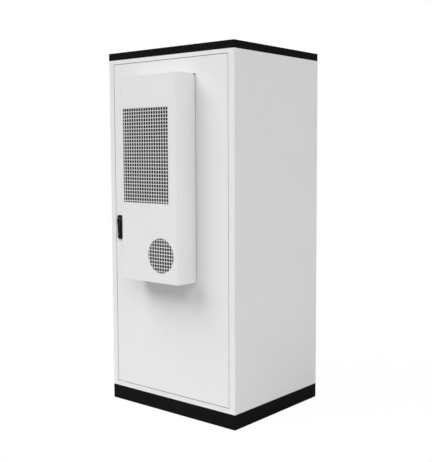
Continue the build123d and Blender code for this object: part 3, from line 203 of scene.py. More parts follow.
# ---------- finishes ----------
@dataclass(frozen=True)
class Finish:
    """An even coat: the colour drifts a little, and a fine grain roughens the surface."""
    name: str
    colour: Colour
    roughness: float = 0.5
    metallic: float = 0.0
    specular: float = 0.5
    coat: float = 0.0
    drift: float = 0.03         # how far the colour goes to either side, as a share of itself
    drift_scale: float = 5.0    # lumps to the metre
    grain: float = 900.0        # lumps to the metre
    grain_depth: float = 0.00004
    grain_strength: float = 0.25
    tone_span: Point2 = (0.3, 0.7)      # noise at the dark end and at the light end
    tone_detail: float = 4.0
    unevenness: float = 0.08            # how far the roughness goes from end to end

    def tone(self, shader: Shader) -> Signal:
        """Where the colour is between its dark end, 0, and its light end, 1."""
        return shader.ramp(shader.noise(self.drift_scale, self.tone_detail), *self.tone_span)

    def height(self, shader: Shader) -> Signal:
        """The relief, between 0 and 1."""
        return shader.noise(self.grain)

    def shade(self, share: float) -> Colour:
        """The colour times 1 + share, at most white."""
        return tuple(min(1.0, part * (1.0 + share)) for part in self.colour)

    def make(self) -> bpy.types.Material:
        """Make the material.

        Returns:
            The material.
        """
        shader = Shader(self.name)
        tone = self.tone(shader)
        return shader.close({
            "Base Color": shader.mix(tone, self.shade(-self.drift), self.shade(self.drift)),
            "Roughness": self.roughness + self.unevenness * (shader.noise(3.0 * self.drift_scale) - 0.5),
            "Metallic": self.metallic,
            "Specular IOR Level": self.specular,
            "Coat Weight": self.coat,
            "Normal": shader.bump(self.height(shader), self.grain_strength, self.grain_depth)})


@dataclass(frozen=True)
class PowderCoat(Finish):
    """Baked powder: low, soft orange peel over a fine grain."""
    peel: float = 260.0                 # lumps to the metre
    shares: Point2 = (0.7, 0.3)         # of the peel and of the grain

    def height(self, shader: Shader) -> Signal:
        """Orange peel with the grain on it."""
        return self.shares[0] * shader.noise(self.peel) + self.shares[1] * shader.noise(self.grain)


@dataclass(frozen=True)
class Galvanised(Finish):
    """Hot-dip zinc: flat crystals, each of its own brightness."""
    crystal: float = 90.0

    def tone(self, shader: Shader) -> Signal:
        """The crystal's own brightness."""
        cell = shader.cells(self.crystal, "Color")
        return shader.node("ShaderNodeSeparateColor", sockets={0: cell})


@dataclass(frozen=True)
class Brushed(Finish):
    """Metal with fine lines along Z."""
    lines: Point3 = (2600.0, 2600.0, 60.0)      # lumps to the metre along each axis

    def height(self, shader: Shader) -> Signal:
        """Lines that run along Z."""
        return shader.noise(1.0, place=shader.stretched(self.lines))


@dataclass(frozen=True)
class Finned(Finish):
    """A coil: thin upright fins, with painted shade in the gaps between them."""
    pitch: float = 0.0024

    def tone(self, shader: Shader) -> Signal:
        """Fin or gap; the dark end of the colour in the gaps is painted shade between the fins."""
        return shader.axis("X").wave(self.pitch)

    def height(self, shader: Shader) -> Signal:
        """Fins stand out."""
        return shader.axis("X").wave(self.pitch)


@dataclass(frozen=True)
class Foam(Finish):
    """Cut foam: open cells."""

    def height(self, shader: Shader) -> Signal:
        """Cell walls."""
        return shader.cells(self.grain, "Distance")


class Slot(Enum):
    """The record's material slots."""
    WHITE = "white_paint"
    UNIT = "unit_paint"
    GRILLE = "grille_paint"
    BLACK = "black_paint"
    GREY = "grey_paint"
    PACK = "pack_paint"
    RED = "red_paint"
    COMPRESSOR = "compressor_paint"
    GALVANISED = "galvanised_steel"
    ZINC = "zinc_steel"
    COIL = "coil_aluminium"
    COPPER = "copper"
    LINK = "insulated_link"
    FOAM = "insulation_foam"
    RUBBER = "gasket_rubber"
    PLASTIC = "black_plastic"
    HANDLE = "handle_black"
    WHITE_PLASTIC = "white_plastic"
    YELLOW = "yellow_plastic"
    RED_PLASTIC = "red_plastic"


FINISHES: dict[Slot, Finish] = {
    Slot.WHITE: PowderCoat("white powder coat", (0.83, 0.833, 0.833), 0.4, drift=0.006),
    Slot.UNIT: PowderCoat("unit powder coat", (0.83, 0.83, 0.83), 0.36, drift=0.006),
    Slot.GRILLE: PowderCoat("grille powder coat", (0.81, 0.81, 0.81), 0.45, drift=0.01),
    Slot.BLACK: PowderCoat("black powder coat", (0.0038, 0.0038, 0.0040), 0.55, specular=0.08, drift=0.12),
    Slot.GREY: PowderCoat("grey powder coat", (0.46, 0.47, 0.48), 0.45, drift=0.02),
    Slot.PACK: PowderCoat("pack powder coat", (0.030, 0.032, 0.036), 0.48, drift=0.1),
    Slot.RED: PowderCoat("red enamel", (0.48, 0.014, 0.012), 0.25, coat=0.4, drift=0.04),
    Slot.COMPRESSOR: PowderCoat("compressor enamel", (0.012, 0.012, 0.013), 0.35, drift=0.1),
    Slot.GALVANISED: Galvanised("galvanised steel", (0.60, 0.62, 0.63), 0.42, 0.85, drift=0.11),
    Slot.ZINC: Brushed("zinc plated steel", (0.66, 0.66, 0.67), 0.3, 1.0, drift=0.05),
    # near black: the coil's colour is painted shade of the fin stack seen through the grilles, and drift 0.7
    # paints shade in the gaps between fins
    Slot.COIL: Finned("coil fins", (0.014, 0.014, 0.015), 0.5, 0.3, specular=0.2, drift=0.7,
                      grain_depth=0.001, grain_strength=0.6),
    Slot.COPPER: Brushed("copper", (0.80, 0.42, 0.26), 0.3, 1.0, drift=0.06),
    Slot.LINK: Finish("insulated link", (0.62, 0.16, 0.02), 0.5, drift=0.04),
    Slot.FOAM: Foam("insulation foam", (0.075, 0.078, 0.082), 0.9, drift=0.12, grain=420.0,
                    grain_depth=0.0006, grain_strength=0.6),
    Slot.RUBBER: Finish("seal rubber", (0.02, 0.02, 0.021), 0.75, drift=0.15, grain=500.0,
                        grain_depth=0.0001, grain_strength=0.5),
    Slot.PLASTIC: Finish("black plastic", (0.016, 0.016, 0.017), 0.48, drift=0.1),
    Slot.HANDLE: Finish("handle black", (0.005, 0.005, 0.0055), 0.38, specular=0.3, drift=0.1, grain=1400.0),
    Slot.WHITE_PLASTIC: Finish("white plastic", (0.78, 0.78, 0.76), 0.4, drift=0.01),
    Slot.YELLOW: Finish("yellow plastic", (0.80, 0.52, 0.02), 0.4, drift=0.03),
    Slot.RED_PLASTIC: Finish("red plastic", (0.58, 0.018, 0.014), 0.35, drift=0.04),
}


class Palette:
    """The finished materials, one for each slot."""

    def __init__(self) -> None:
        """Make every material."""
        self.materials = {slot: finish.make() for slot, finish in FINISHES.items()}

    def give(self, thing: bpy.types.Object, slot: Slot) -> None:
        """Make a slot's material the only one of an object."""
        thing.data.materials.clear()
        thing.data.materials.append(self.materials[slot])

    def dress_frame(self) -> None:
        """Give each CAD node the material of its slot."""
        for part in frame["record"]["subparts"]:
            self.give(frame["nodes"][part["node"]], Slot(part["material_slot"]))


# ---------- shapes ----------
def at(first: float, second: float, along: float, axis: str) -> Vector:
    """A point from its two places across an axis, in the order X, Y, Z, and its place along the axis."""
    return {"X": Vector((along, first, second)), "Y": Vector((first, along, second)),
            "Z": Vector((first, second, along))}[axis]


def rounded(low: Point2, high: Point2, radius: float, steps: int = 6) -> list[Point2]:
    """A rectangle with round corners.

    Args:
        low: The corner with the lowest values.
        high: The opposite corner.
        radius: The corners' radius.
        steps: Edges in each corner.

    Returns:
        The outline, anticlockwise.
    """
    outline = []
    for turn, (sx, sy) in enumerate(((1, 1), (0, 1), (0, 0), (1, 0))):
        cx = high[0] - radius if sx else low[0] + radius
        cy = high[1] - radius if sy else low[1] + radius
        for step in range(steps + 1):
            angle = (turn + step / steps) * pi / 2
            outline.append((cx + radius * cos(angle), cy + radius * sin(angle)))
    return outline


def rectangle(low: Point2, high: Point2) -> list[Point2]:
    """A rectangle's corners, anticlockwise from the lowest."""
    return [low, (high[0], low[1]), high, (low[0], high[1])]


def circle(centre: Point2, radius: float, sides: int = 48, start: float = 0.0) -> list[Point2]:
    """A regular outline round a centre, anticlockwise from the angle start."""
    turns = [start + tau * n / sides for n in range(sides)]
    return [(centre[0] + radius * cos(turn), centre[1] + radius * sin(turn)) for turn in turns]


class Form:
    """A mesh under construction, in the row's frame, in metres."""

    def __init__(self) -> None:
        """Start with nothing."""
        self.mesh = bmesh.new()

    def loft(self, rings: Sequence[Sequence[Vector]]) -> "Form":
        """Skin a run of rings with equally many points and close both ends.

        Args:
            rings: The rings, in order.

        Returns:
            This form.
        """
        verts = [[self.mesh.verts.new(point) for point in ring] for ring in rings]
        count = len(verts[0])
        for near, far in zip(verts, verts[1:]):
            for n in range(count):
                after = (n + 1) % count
                self.mesh.faces.new((near[n], near[after], far[after], far[n]))
        self.mesh.faces.new(verts[0])
        self.mesh.faces.new(verts[-1])
        return self

    def prism(self, outline: Sequence[Point2], low: float, high: float, axis: str = "Y") -> "Form":
        """Add an outline drawn across an axis, between two places on it."""
        return self.loft([[at(u, v, along, axis) for u, v in outline] for along in (low, high)])

    def turned(self, profile: Sequence[Point2], centre: Point2, axis: str = "Y", sides: int = 32,
               start: float = 0.0) -> "Form":
        """Add a solid of revolution, from each ring's radius and its place along the axis."""
        return self.loft([[at(u, v, along, axis) for u, v in circle(centre, radius, sides, start)]
                          for radius, along in profile])

    def pipe(self, path: Sequence[Vector], radius: float, sides: int = 12) -> "Form":
        """Add a round bar along a path.

        Args:
            path: The middle of the bar, at each bend.
            radius: The bar's radius.
            sides: Points round the bar.

        Returns:
            This form.
        """
        rings = []
        for n, point in enumerate(path):
            ahead = (path[min(n + 1, len(path) - 1)] - path[max(n - 1, 0)]).normalized()
            side = ahead.orthogonal() if n == 0 else side - ahead * side.dot(ahead)
            side.normalize()
            other = ahead.cross(side)
            rings.append([point + radius * (cos(tau * k / sides) * side + sin(tau * k / sides) * other)
                          for k in range(sides)])
        return self.loft(rings)

    def holder(self, name: str, outward: bool = True) -> bpy.types.Object:
        """Turn the form into an object of the scene.

        Args:
            name: The object's name.
            outward: Whether the faces are first turned to look outward.

        Returns:
            The object.
        """
        if outward:
            bmesh.ops.recalc_face_normals(self.mesh, faces=self.mesh.faces)
        data = bpy.data.meshes.new(name)
        self.mesh.to_mesh(data)
        self.mesh.free()
        return placed(name, data)


def placed(name: str, data: bpy.types.ID) -> bpy.types.Object:
    """Make an object of the scene.

    Args:
        name: The object's name.
        data: Its mesh, camera or light.

    Returns:
        The object.
    """
    thing = bpy.data.objects.new(name, data)
    bpy.context.scene.collection.objects.link(thing)
    return thing


def modify(thing: bpy.types.Object, kind: str, **settings: object) -> None:
    """Add a modifier.

    Args:
        thing: The object.
        kind: The modifier's type.
        settings: The modifier's own settings.
    """
    modifier = thing.modifiers.new(kind.lower(), kind)
    for name, value in settings.items():
        setattr(modifier, name, value)


def settle(thing: bpy.types.Object) -> None:
    """Apply all of an object's modifiers.

    Args:
        thing: The object.
    """
    depsgraph = bpy.context.evaluated_depsgraph_get()
    data = bpy.data.meshes.new_from_object(thing.evaluated_get(depsgraph))
    old = thing.data
    thing.modifiers.clear()
    thing.data = data
    data.name = thing.name
    bpy.data.meshes.remove(old)


def cut(thing: bpy.types.Object, tool: Form) -> None:
    """Take a form away from an object, and drop the form.

    Args:
        thing: The object.
        tool: The form.
    """
    cutter = tool.holder(thing.name + "_cutter")
    modify(thing, "BOOLEAN", operation="DIFFERENCE", solver="EXACT", object=cutter)
    settle(thing)
    data = cutter.data
    bpy.data.objects.remove(cutter)
    bpy.data.meshes.remove(data)


def ease(thing: bpy.types.Object, width: float, segments: int = 2, angle: float = 32.0) -> None:
    """Round an object's sharp edges and smooth its faces.

    Args:
        thing: The object.
        width: How far each rounding reaches.
        segments: Edges in a rounding.
        angle: The least angle of an edge that's rounded, in degrees.
    """
    stale = thing.data.attributes.get("custom_normal")
    if stale:
        thing.data.attributes.remove(stale)
    modify(thing, "BEVEL", width=width, segments=segments, limit_method="ANGLE",
           angle_limit=radians(angle), use_clamp_overlap=True)
    modify(thing, "WEIGHTED_NORMAL", mode="FACE_AREA", weight=100)
    thing.data.polygons.foreach_set("use_smooth", [True] * len(thing.data.polygons))
    settle(thing)


def merged(node: str) -> bpy.types.Object:
    """A copy of a CAD node with its triangles merged into flat faces.

    Args:
        node: The CAD node.

    Returns:
        The copy.
    """
    form = Form()
    form.mesh.from_mesh(frame["nodes"][node].data)
    bmesh.ops.remove_doubles(form.mesh, verts=form.mesh.verts, dist=ONE_POINT)
    bmesh.ops.dissolve_limit(form.mesh, angle_limit=FLAT, verts=form.mesh.verts, edges=form.mesh.edges)
    return form.holder(node + "_soft")


def slot_of(node: str) -> Slot:
    """The material slot of a CAD node."""
    return next(Slot(part["material_slot"]) for part in frame["record"]["subparts"] if part["node"] == node)


def round_uprights(thing: bpy.types.Object, corner: Point2, reach: float, radius: float) -> None:
    """Round the upright edges of an object that lie at a corner seen from above.

    Args:
        thing: The object.
        corner: The corner's X and Y.
        reach: How far from the corner an edge may lie.
        radius: The rounding's radius.
    """
    form = Form()
    form.mesh.from_mesh(thing.data)
    spot = Vector((*corner, 0.0))
    chosen = [edge for edge in form.mesh.edges
              if all((vert.co.xy.to_3d() - spot).length < reach for vert in edge.verts)
              and abs(edge.verts[0].co.z - edge.verts[1].co.z) > UPRIGHT]
    bmesh.ops.bevel(form.mesh, geom=chosen, offset=radius, offset_type="OFFSET", segments=6, profile=0.5,
                    affect="EDGES", clamp_overlap=True)
    form.mesh.to_mesh(thing.data)
    form.mesh.free()


@dataclass
class Assembly:
    """What the sub-assemblies share: naming, mounting and finishing of pieces."""
    palette: Palette
    pieces: list[bpy.types.Object] = field(default_factory=list, init=False)

    def keep(self, thing: bpy.types.Object, slot: Slot, body: str, replaces: str = "") -> bpy.types.Object:
        """Finish a piece, and mount it on a body.

        Args:
            thing: The piece.
            slot: Its material slot.
            body: The body that it moves with.
            replaces: The CAD node that it stands for, if any.

        Returns:
            The piece.
        """
        self.palette.give(thing, slot)
        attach(thing, body)
        if replaces:
            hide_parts(replaces)
        self.pieces.append(thing)
        return thing

    def soften(self, node: str, width: float, segments: int = 2) -> None:
        """Show a CAD node with its edges rounded.

        Args:
            node: The CAD node.
            width: How far each rounding reaches.
            segments: Edges in a rounding.
        """
        body = next(b for b, nodes in frame["record"]["behaviour"]["bodies"].items() if node in nodes)
        thing = merged(node)
        ease(thing, width, segments)
        self.keep(thing, slot_of(node), body, node)


# ---------- body ----------
@dataclass
class Enclosure(Assembly):
    """The body: frame, panels, plinth, cap, and the round upright corners at the front."""
    corner: float = 6 * MM          # radius of the upright front corners
    corner_steel: float = 1.2 * MM
    panel_edge: float = 0.6 * MM
    gap: float = 3 * MM             # round the door
    # thickness of the black sheets that paint the shade in the gap round the door
    shade_strip: float = 0.4 * MM
    jamb: float = 48 * MM           # depth of the gap's walls
    cap_edge: float = 1.6 * MM
    screw_radius: float = 5 * MM
    screw_depth: float = 1.5 * MM
    screw_inset: float = 22 * MM
    screws_up: int = 6
    screws_across: int = 3
    corner_steps: int = 8
    strip_edge: float = 0.2 * MM
    plain_edge: float = 0.3 * MM    # of nodes behind the panels
    panel_angle: float = 40.0       # degrees
    near: float = 3 * MM            # how far from a corner its upright edges may lie
    rod_clear: Point2 = (6 * MM, 9 * MM)    # painted shade strip left out beside the rods, and how far up and down
    socket: Point2 = (1.9 * MM, 1.2 * MM)   # a screw's socket: radius and depth

    def __post_init__(self) -> None:
        """Read the body's sheet from the frame."""
        self.low, self.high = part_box("front_frame")
        self.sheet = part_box("right_side_panel")[1].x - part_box("right_side_panel")[0].x

    def build(self) -> None:
        """Make every piece of the body."""
        for side, name in ((-1, "left"), (1, "right")):
            self.corner_strip(side, name)
        for node in ("front_frame", "left_side_panel", "right_side_panel"):
            self.trimmed(node, self.corner, True)
        for node in ("corner_posts", "floor_plate", "roof_panel"):
            self.trimmed(node, self.corner - self.sheet, False)
        for node in ("roof_cap", "plinth"):
            self.soften(node, self.cap_edge, FINE)
        self.rear()
        self.gap_shade_strip()

    def gap_shade_strip(self) -> None:
        """Painted shade: thin black sheets on the walls of the gap round the door, so that the gap reads
        dark.
        """
        low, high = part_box("door_panel")
        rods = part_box("rod_guides")
        out, (aside, beyond) = self.gap - self.shade_strip, self.rod_clear
        front, back = low.y + MM, self.low.y + self.jamb - MM
        outline = rectangle((low.x - self.gap, low.z - self.gap), (high.x + self.gap, high.z + self.gap))
        thing = Form().prism(outline, front, back).holder("gap_shade_strip")
        for start, end in (((low.x - out, low.z - out), (high.x + out, high.z + out)),
                           ((rods[0].x - aside, low.z - beyond), (rods[1].x + aside, high.z + beyond))):
            cut(thing, Form().prism(rectangle(start, end), front - MM, back + MM))
        self.keep(thing, Slot.RUBBER, "cabinet")

    def corner_strip(self, side: int, name: str) -> None:
        """The curved length of sheet between the front face and one side.

        Args:
            side: -1 for the left, 1 for the right.
            name: The side's name.
        """
        centre = (side * (self.high.x - self.corner), self.low.y + self.corner)
        inner = self.corner - self.corner_steel
        angles = [n / self.corner_steps * pi / 2 for n in range(self.corner_steps + 1)]
        arc = [(centre[0] + side * self.corner * cos(a), centre[1] - self.corner * sin(a)) for a in angles]
        arc += [(centre[0] + side * inner * cos(a), centre[1] - inner * sin(a)) for a in reversed(angles)]
        strip = Form().prism(arc, self.low.z, self.high.z, "Z").holder(name + "_corner")
        ease(strip, self.strip_edge, 1, STEEP)
        self.keep(strip, Slot.WHITE, "cabinet")

    def trimmed(self, node: str, radius: float, square: bool) -> None:
        """Show a node with its front corners cleared for the corner strips.

        Args:
            node: The CAD node.
            radius: How much of the corner goes.
            square: Whether a square is cut out, or the corner is only rounded.
        """
        thing = merged(node)
        low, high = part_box(node)
        for side in (-1, 1):
            if square:
                left, right = sorted((side * (self.high.x + MM), side * (self.high.x - radius)))
                outline = rounded((left, self.low.y - MM), (right, self.low.y + radius), SHARP, 1)
                cut(thing, Form().prism(outline, self.low.z - MM, self.high.z + MM, "Z"))
            else:
                round_uprights(thing, (side * high.x, low.y), self.near, radius)
        ease(thing, self.panel_edge if square else self.plain_edge, 2, self.panel_angle)
        self.keep(thing, slot_of(node), "cabinet", node)

    def screw_places(self) -> list[Point2]:
        """X and Z of the rear panel's screws, round its edge."""
        low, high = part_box("rear_panel")
        left, right = low.x + self.screw_inset, high.x - self.screw_inset
        bottom, top = low.z + self.screw_inset, high.z - self.screw_inset
        up = [bottom + (top - bottom) * n / (self.screws_up - 1) for n in range(self.screws_up)]
        step = (right - left) / (self.screws_across + 1)
        across = [left + step * n for n in range(1, self.screws_across + 1)]
        return [(x, z) for x in (left, right) for z in up] + [(x, z) for z in (bottom, top) for x in across]

    def rear(self) -> None:
        """The rear panel with countersunk screws, flush with it."""
        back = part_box("rear_panel")[1].y
        thing = merged("rear_panel")
        sinks, heads = Form(), Form()
        neck = 0.55 * self.screw_radius
        for place in self.screw_places():
            sinks.turned([(neck, back - self.screw_depth), (self.screw_radius, back - 0.2 * MM),
                          (self.screw_radius, back + MM)], place)
            heads.turned([(neck - 0.1 * MM, back - self.screw_depth + 0.1 * MM),
                          (self.screw_radius - 0.2 * MM, back - 0.4 * MM),
                          (self.screw_radius - 0.5 * MM, back - 0.2 * MM)], place)
        cut(thing, sinks)
        ease(thing, self.plain_edge, 2, self.panel_angle)
        self.keep(thing, Slot.WHITE, "cabinet", "rear_panel")
        screws = heads.holder("rear_screws")
        sockets = Form()
        width, depth = self.socket
        for place in self.screw_places():
            sockets.turned([(width, back - depth), (width, back + MM)], place, sides=6)
        cut(screws, sockets)
        self.keep(screws, Slot.ZINC, "cabinet")


@dataclass
class Door(Assembly):
    """The door: its skin, folded edge, seal and stiffeners."""
    skin_edge: float = 0.9 * MM
    fold_edge: float = 0.5 * MM
    seal_edge: float = 2.0 * MM
    # thickness of the black sheets that paint shade on the door's upright edges
    shade_strip: float = 0.4 * MM
    hinge_inset: float = 220 * MM       # end hinges, in from the door's ends
    hinge_break: float = 42 * MM        # painted shade strip left out to either side of a hinge

    def build(self) -> None:
        """Make every piece of the door."""
        self.soften("door_panel", self.skin_edge, FINE)
        for node in ("door_edges", "door_inner_ring", "door_stiffeners", "hinge_lugs"):
            self.soften(node, self.fold_edge)
        self.soften("door_gasket", self.seal_edge, FINE)
        self.edge_shade_strip()

    def edge_shade_strip(self) -> None:
        """Painted shade: thin black sheets on the door's two upright edges, with breaks for the hinges, so
        that the gap reads dark.
        """
        low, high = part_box("door_edges")
        front, back = low.y + MM, high.y - 2 * MM
        shade_strip = Form()
        places = [low.z + self.hinge_inset, (low.z + high.z) / 2, high.z - self.hinge_inset]
        ends = [low.z + 3 * MM] + [z + side * self.hinge_break for z in places for side in (-1, 1)]
        ends.append(high.z - 3 * MM)
        for start, end in zip(ends[::2], ends[1::2]):
            shade_strip.prism(rectangle((high.x, front), (high.x + self.shade_strip, back)), start, end, "Z")
        shade_strip.prism(rectangle((low.x - self.shade_strip, front), (low.x, back)), ends[0], ends[-1], "Z")
        self.keep(shade_strip.holder("door_edge_shade_strip"), Slot.RUBBER, "door")


# ---------- air conditioner ----------
@dataclass
class AirConditioner(Assembly):
    """The door's air conditioner: pressed cover, two punched grilles and its seal."""
    steel: float = 1.5 * MM
    foam: float = 4 * MM            # thickness of the lining
    corner: float = 18 * MM         # radius of the cover's upright front corners
    rim: float = 2.0 * MM           # rounding of the cover's other outer edges
    edge: float = 0.35 * MM
    pitch: float = 19.65 * MM
    hole: float = 15.8 * MM
    grille_steel: float = 1 * MM
    hole_corner: float = 1.2 * MM
    lap: Point2 = (8 * MM, 14 * MM)     # grille beyond the window, along X and Z
    first: Point2 = (8 * MM, 10 * MM)   # window's right and top edges to the corner hole's middle
    round_radius: float = 100 * MM
    window_corner: float = 2.5 * MM
    notch: Point2 = (16 * MM, 8 * MM)   # cut-out at the cover's top back corner, along Y and Z
    notch_deep: float = 4.5 * MM
    plug_play: float = 0.3 * MM
    plug_sunk: float = 0.8 * MM
    lining_play: float = 0.2 * MM
    lining_edge: float = 0.8 * MM
    seal_edge: float = 0.5 * MM
    back_foam: Point2 = (6 * MM, 2.5 * MM)  # front and back of the foam behind the fan, from the cover's back
    hood_steps: int = 12
    round_sides: int = 96
    ring_steps: int = 3                 # edges in each corner of a hole

    def build(self) -> None:
        """Make every piece of the air conditioner."""
        self.cover()
        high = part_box("condenser_grille")[1]
        column = high.x - self.lap[0] - self.first[0]
        self.grille("condenser_grille", (column, high.z - self.lap[1] - self.first[1]))
        low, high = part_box("fan_grille")
        self.grille("fan_grille", (column, (low.z + high.z) / 2))
        self.soften("ac_gasket", self.seal_edge)
        self.foam_shade_lining()

    def foam_shade_lining(self) -> None:
        """Dark foam on the inner walls, round the condenser and behind the fan; its dark colour also paints
        the shade inside the unit that is seen through the grilles.
        """
        low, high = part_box("ac_cover")
        partition, floor_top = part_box("ac_partition"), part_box("ac_floor")[1].z
        gap = self.steel + self.lining_play
        left, right, top = low.x + gap, high.x - gap, high.z - gap
        front, back = low.y + self.corner, partition[0].y - MM
        inner, outer = left + self.foam + MM, right - self.foam - MM
        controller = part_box("ac_controller")[0].z
        foam = Form()
        for near in (left, right - self.foam):
            foam.prism(rectangle((near, floor_top + MM), (near + self.foam, top)), front, back)
        foam.prism(rectangle((inner, top - self.foam), (outer, top)), front, back)
        foam.prism(rectangle((inner, partition[0].z + MM), (outer, controller - MM)), back - self.foam, back)
        foam.prism(rectangle((inner, floor_top + MM), (outer, partition[0].z - MM)),
                   high.y - self.back_foam[0], high.y - self.back_foam[1])
        thing = foam.holder("ac_foam_shade_lining")
        ease(thing, self.lining_edge)
        self.keep(thing, Slot.FOAM, "door")

    def hood(self, inset: float, back: float) -> list[Point2]:
        """The cover's outline seen from above.

        Args:
            inset: How far inside the outer face.
            back: Y of the open back.

        Returns:
            The outline.
        """
        low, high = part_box("ac_cover")
        radius = self.corner - inset
        outline = [(low.x + inset, back), (high.x - inset, back)]
        for centre, start in ((high.x - self.corner, 0.0), (low.x + self.corner, -pi / 2)):
            for n in range(self.hood_steps + 1):
                angle = start - n / self.hood_steps * pi / 2
                outline.append((centre + radius * cos(angle), low.y + self.corner + radius * sin(angle)))
        return outline

    def cover(self) -> None:
        """The cover, with its two windows, and a notch at its top back corner filled with a black plug that
        paints the shade of the gap there.
        """
        low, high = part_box("ac_cover")
        thing = Form().prism(self.hood(0.0, high.y), low.z, high.z, "Z").holder("ac_cover_shell")
        ease(thing, self.rim, FINE, STEEP)
        cut(thing, Form().prism(self.hood(self.steel, high.y + 10 * MM), low.z + self.steel,
                                high.z - self.steel, "Z"))
        window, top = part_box("condenser_grille")
        fan, fan_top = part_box("fan_grille")
        middle = ((fan.x + fan_top.x) / 2, (fan.z + fan_top.z) / 2)
        for outline in (rounded((window.x + self.lap[0], window.z + self.lap[1]),
                                (top.x - self.lap[0], top.z - self.lap[1]), self.window_corner),
                        circle(middle, self.round_radius, self.round_sides)):
            cut(thing, Form().prism(outline, low.y - 5 * MM, low.y + 5 * MM))
        start, bottom = high.y - self.notch[0], high.z - self.notch[1]
        depth, play = high.x - self.notch_deep, self.plug_play
        opening = rectangle((start, bottom), (high.y + MM, high.z + MM))
        cut(thing, Form().prism(opening, depth, high.x + MM, "X"))
        ease(thing, self.edge, 2, STEEP)
        self.keep(thing, Slot.UNIT, "door", "ac_cover")
        # a black plug fills the notch, sunk 0.8 mm; its black is painted shade of the gap between the cover's
        # top back corner and the door
        outline = rectangle((start + play, bottom + play), (high.y - play, high.z - self.plug_sunk))
        plug = Form().prism(outline, depth, high.x - self.plug_sunk, "X").holder("ac_notch_shade_plug")
        ease(plug, 0.4 * MM)
        self.keep(plug, Slot.RUBBER, "door")

    def centres(self, first: float, low: float, high: float) -> list[float]:
        """The holes' middles along one direction.

        Args:
            first: One of them.
            low: The sheet's lower edge.
            high: Its upper edge.

        Returns:
            The places, in rising order.
        """
        half = self.hole / 2
        below = floor((first - half - low) / self.pitch)
        above = floor((high - half - first) / self.pitch)
        return [first + self.pitch * n for n in range(-below, above + 1)]

    def grille(self, node: str, first: Point2) -> None:
        """A sheet punched with square holes.

        Args:
            node: The CAD node that the sheet stands for.
            first: X and Z of the middle of one of the holes.
        """
        low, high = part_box(node)
        across = self.centres(first[0], low.x, high.x)
        up = self.centres(first[1], low.z, high.z)
        lines = [[start] + [(a + b) / 2 for a, b in zip(run, run[1:])] + [end]
                 for run, start, end in ((across, low.x, high.x), (up, low.z, high.z))]
        form = Form()
        for i, x in enumerate(across):
            for k, z in enumerate(up):
                ends = (lines[0][i], lines[1][k]), (lines[0][i + 1], lines[1][k + 1])
                self.cell(form, (x, z), *ends, low.y)
        bmesh.ops.remove_doubles(form.mesh, verts=form.mesh.verts, dist=ONE_POINT)
        thing = form.holder(node + "_sheet", outward=False)
        modify(thing, "SOLIDIFY", thickness=self.grille_steel, offset=-1.0)
        settle(thing)
        self.keep(thing, Slot.GRILLE, "door", node)

    def cell(self, form: Form, middle: Point2, low: Point2, high: Point2, front: float) -> None:
        """One hole and the sheet round it, as a flat face that looks to the front.

        Args:
            form: The mesh to add to.
            middle: The hole's middle.
            low: The cell's lower left corner.
            high: Its upper right corner.
            front: Y of the face.
        """
        half, steps = self.hole / 2, self.ring_steps
        ring = rounded((middle[0] - half, middle[1] - half), (middle[0] + half, middle[1] + half),
                       self.hole_corner, steps)
        inner = [form.mesh.verts.new((x, front, z)) for x, z in ring]
        corners = (high, (low[0], high[1]), low, (high[0], low[1]))
        outer = [form.mesh.verts.new((x, front, z)) for x, z in corners]
        for turn, corner in enumerate(outer):
            start = turn * (steps + 1)
            after = (start + steps + 1) % len(inner)
            for n in range(start, start + steps):
                form.mesh.faces.new((corner, inner[n + 1], inner[n]))
            form.mesh.faces.new((corner, outer[(turn + 1) % 4], inner[after], inner[start + steps]))


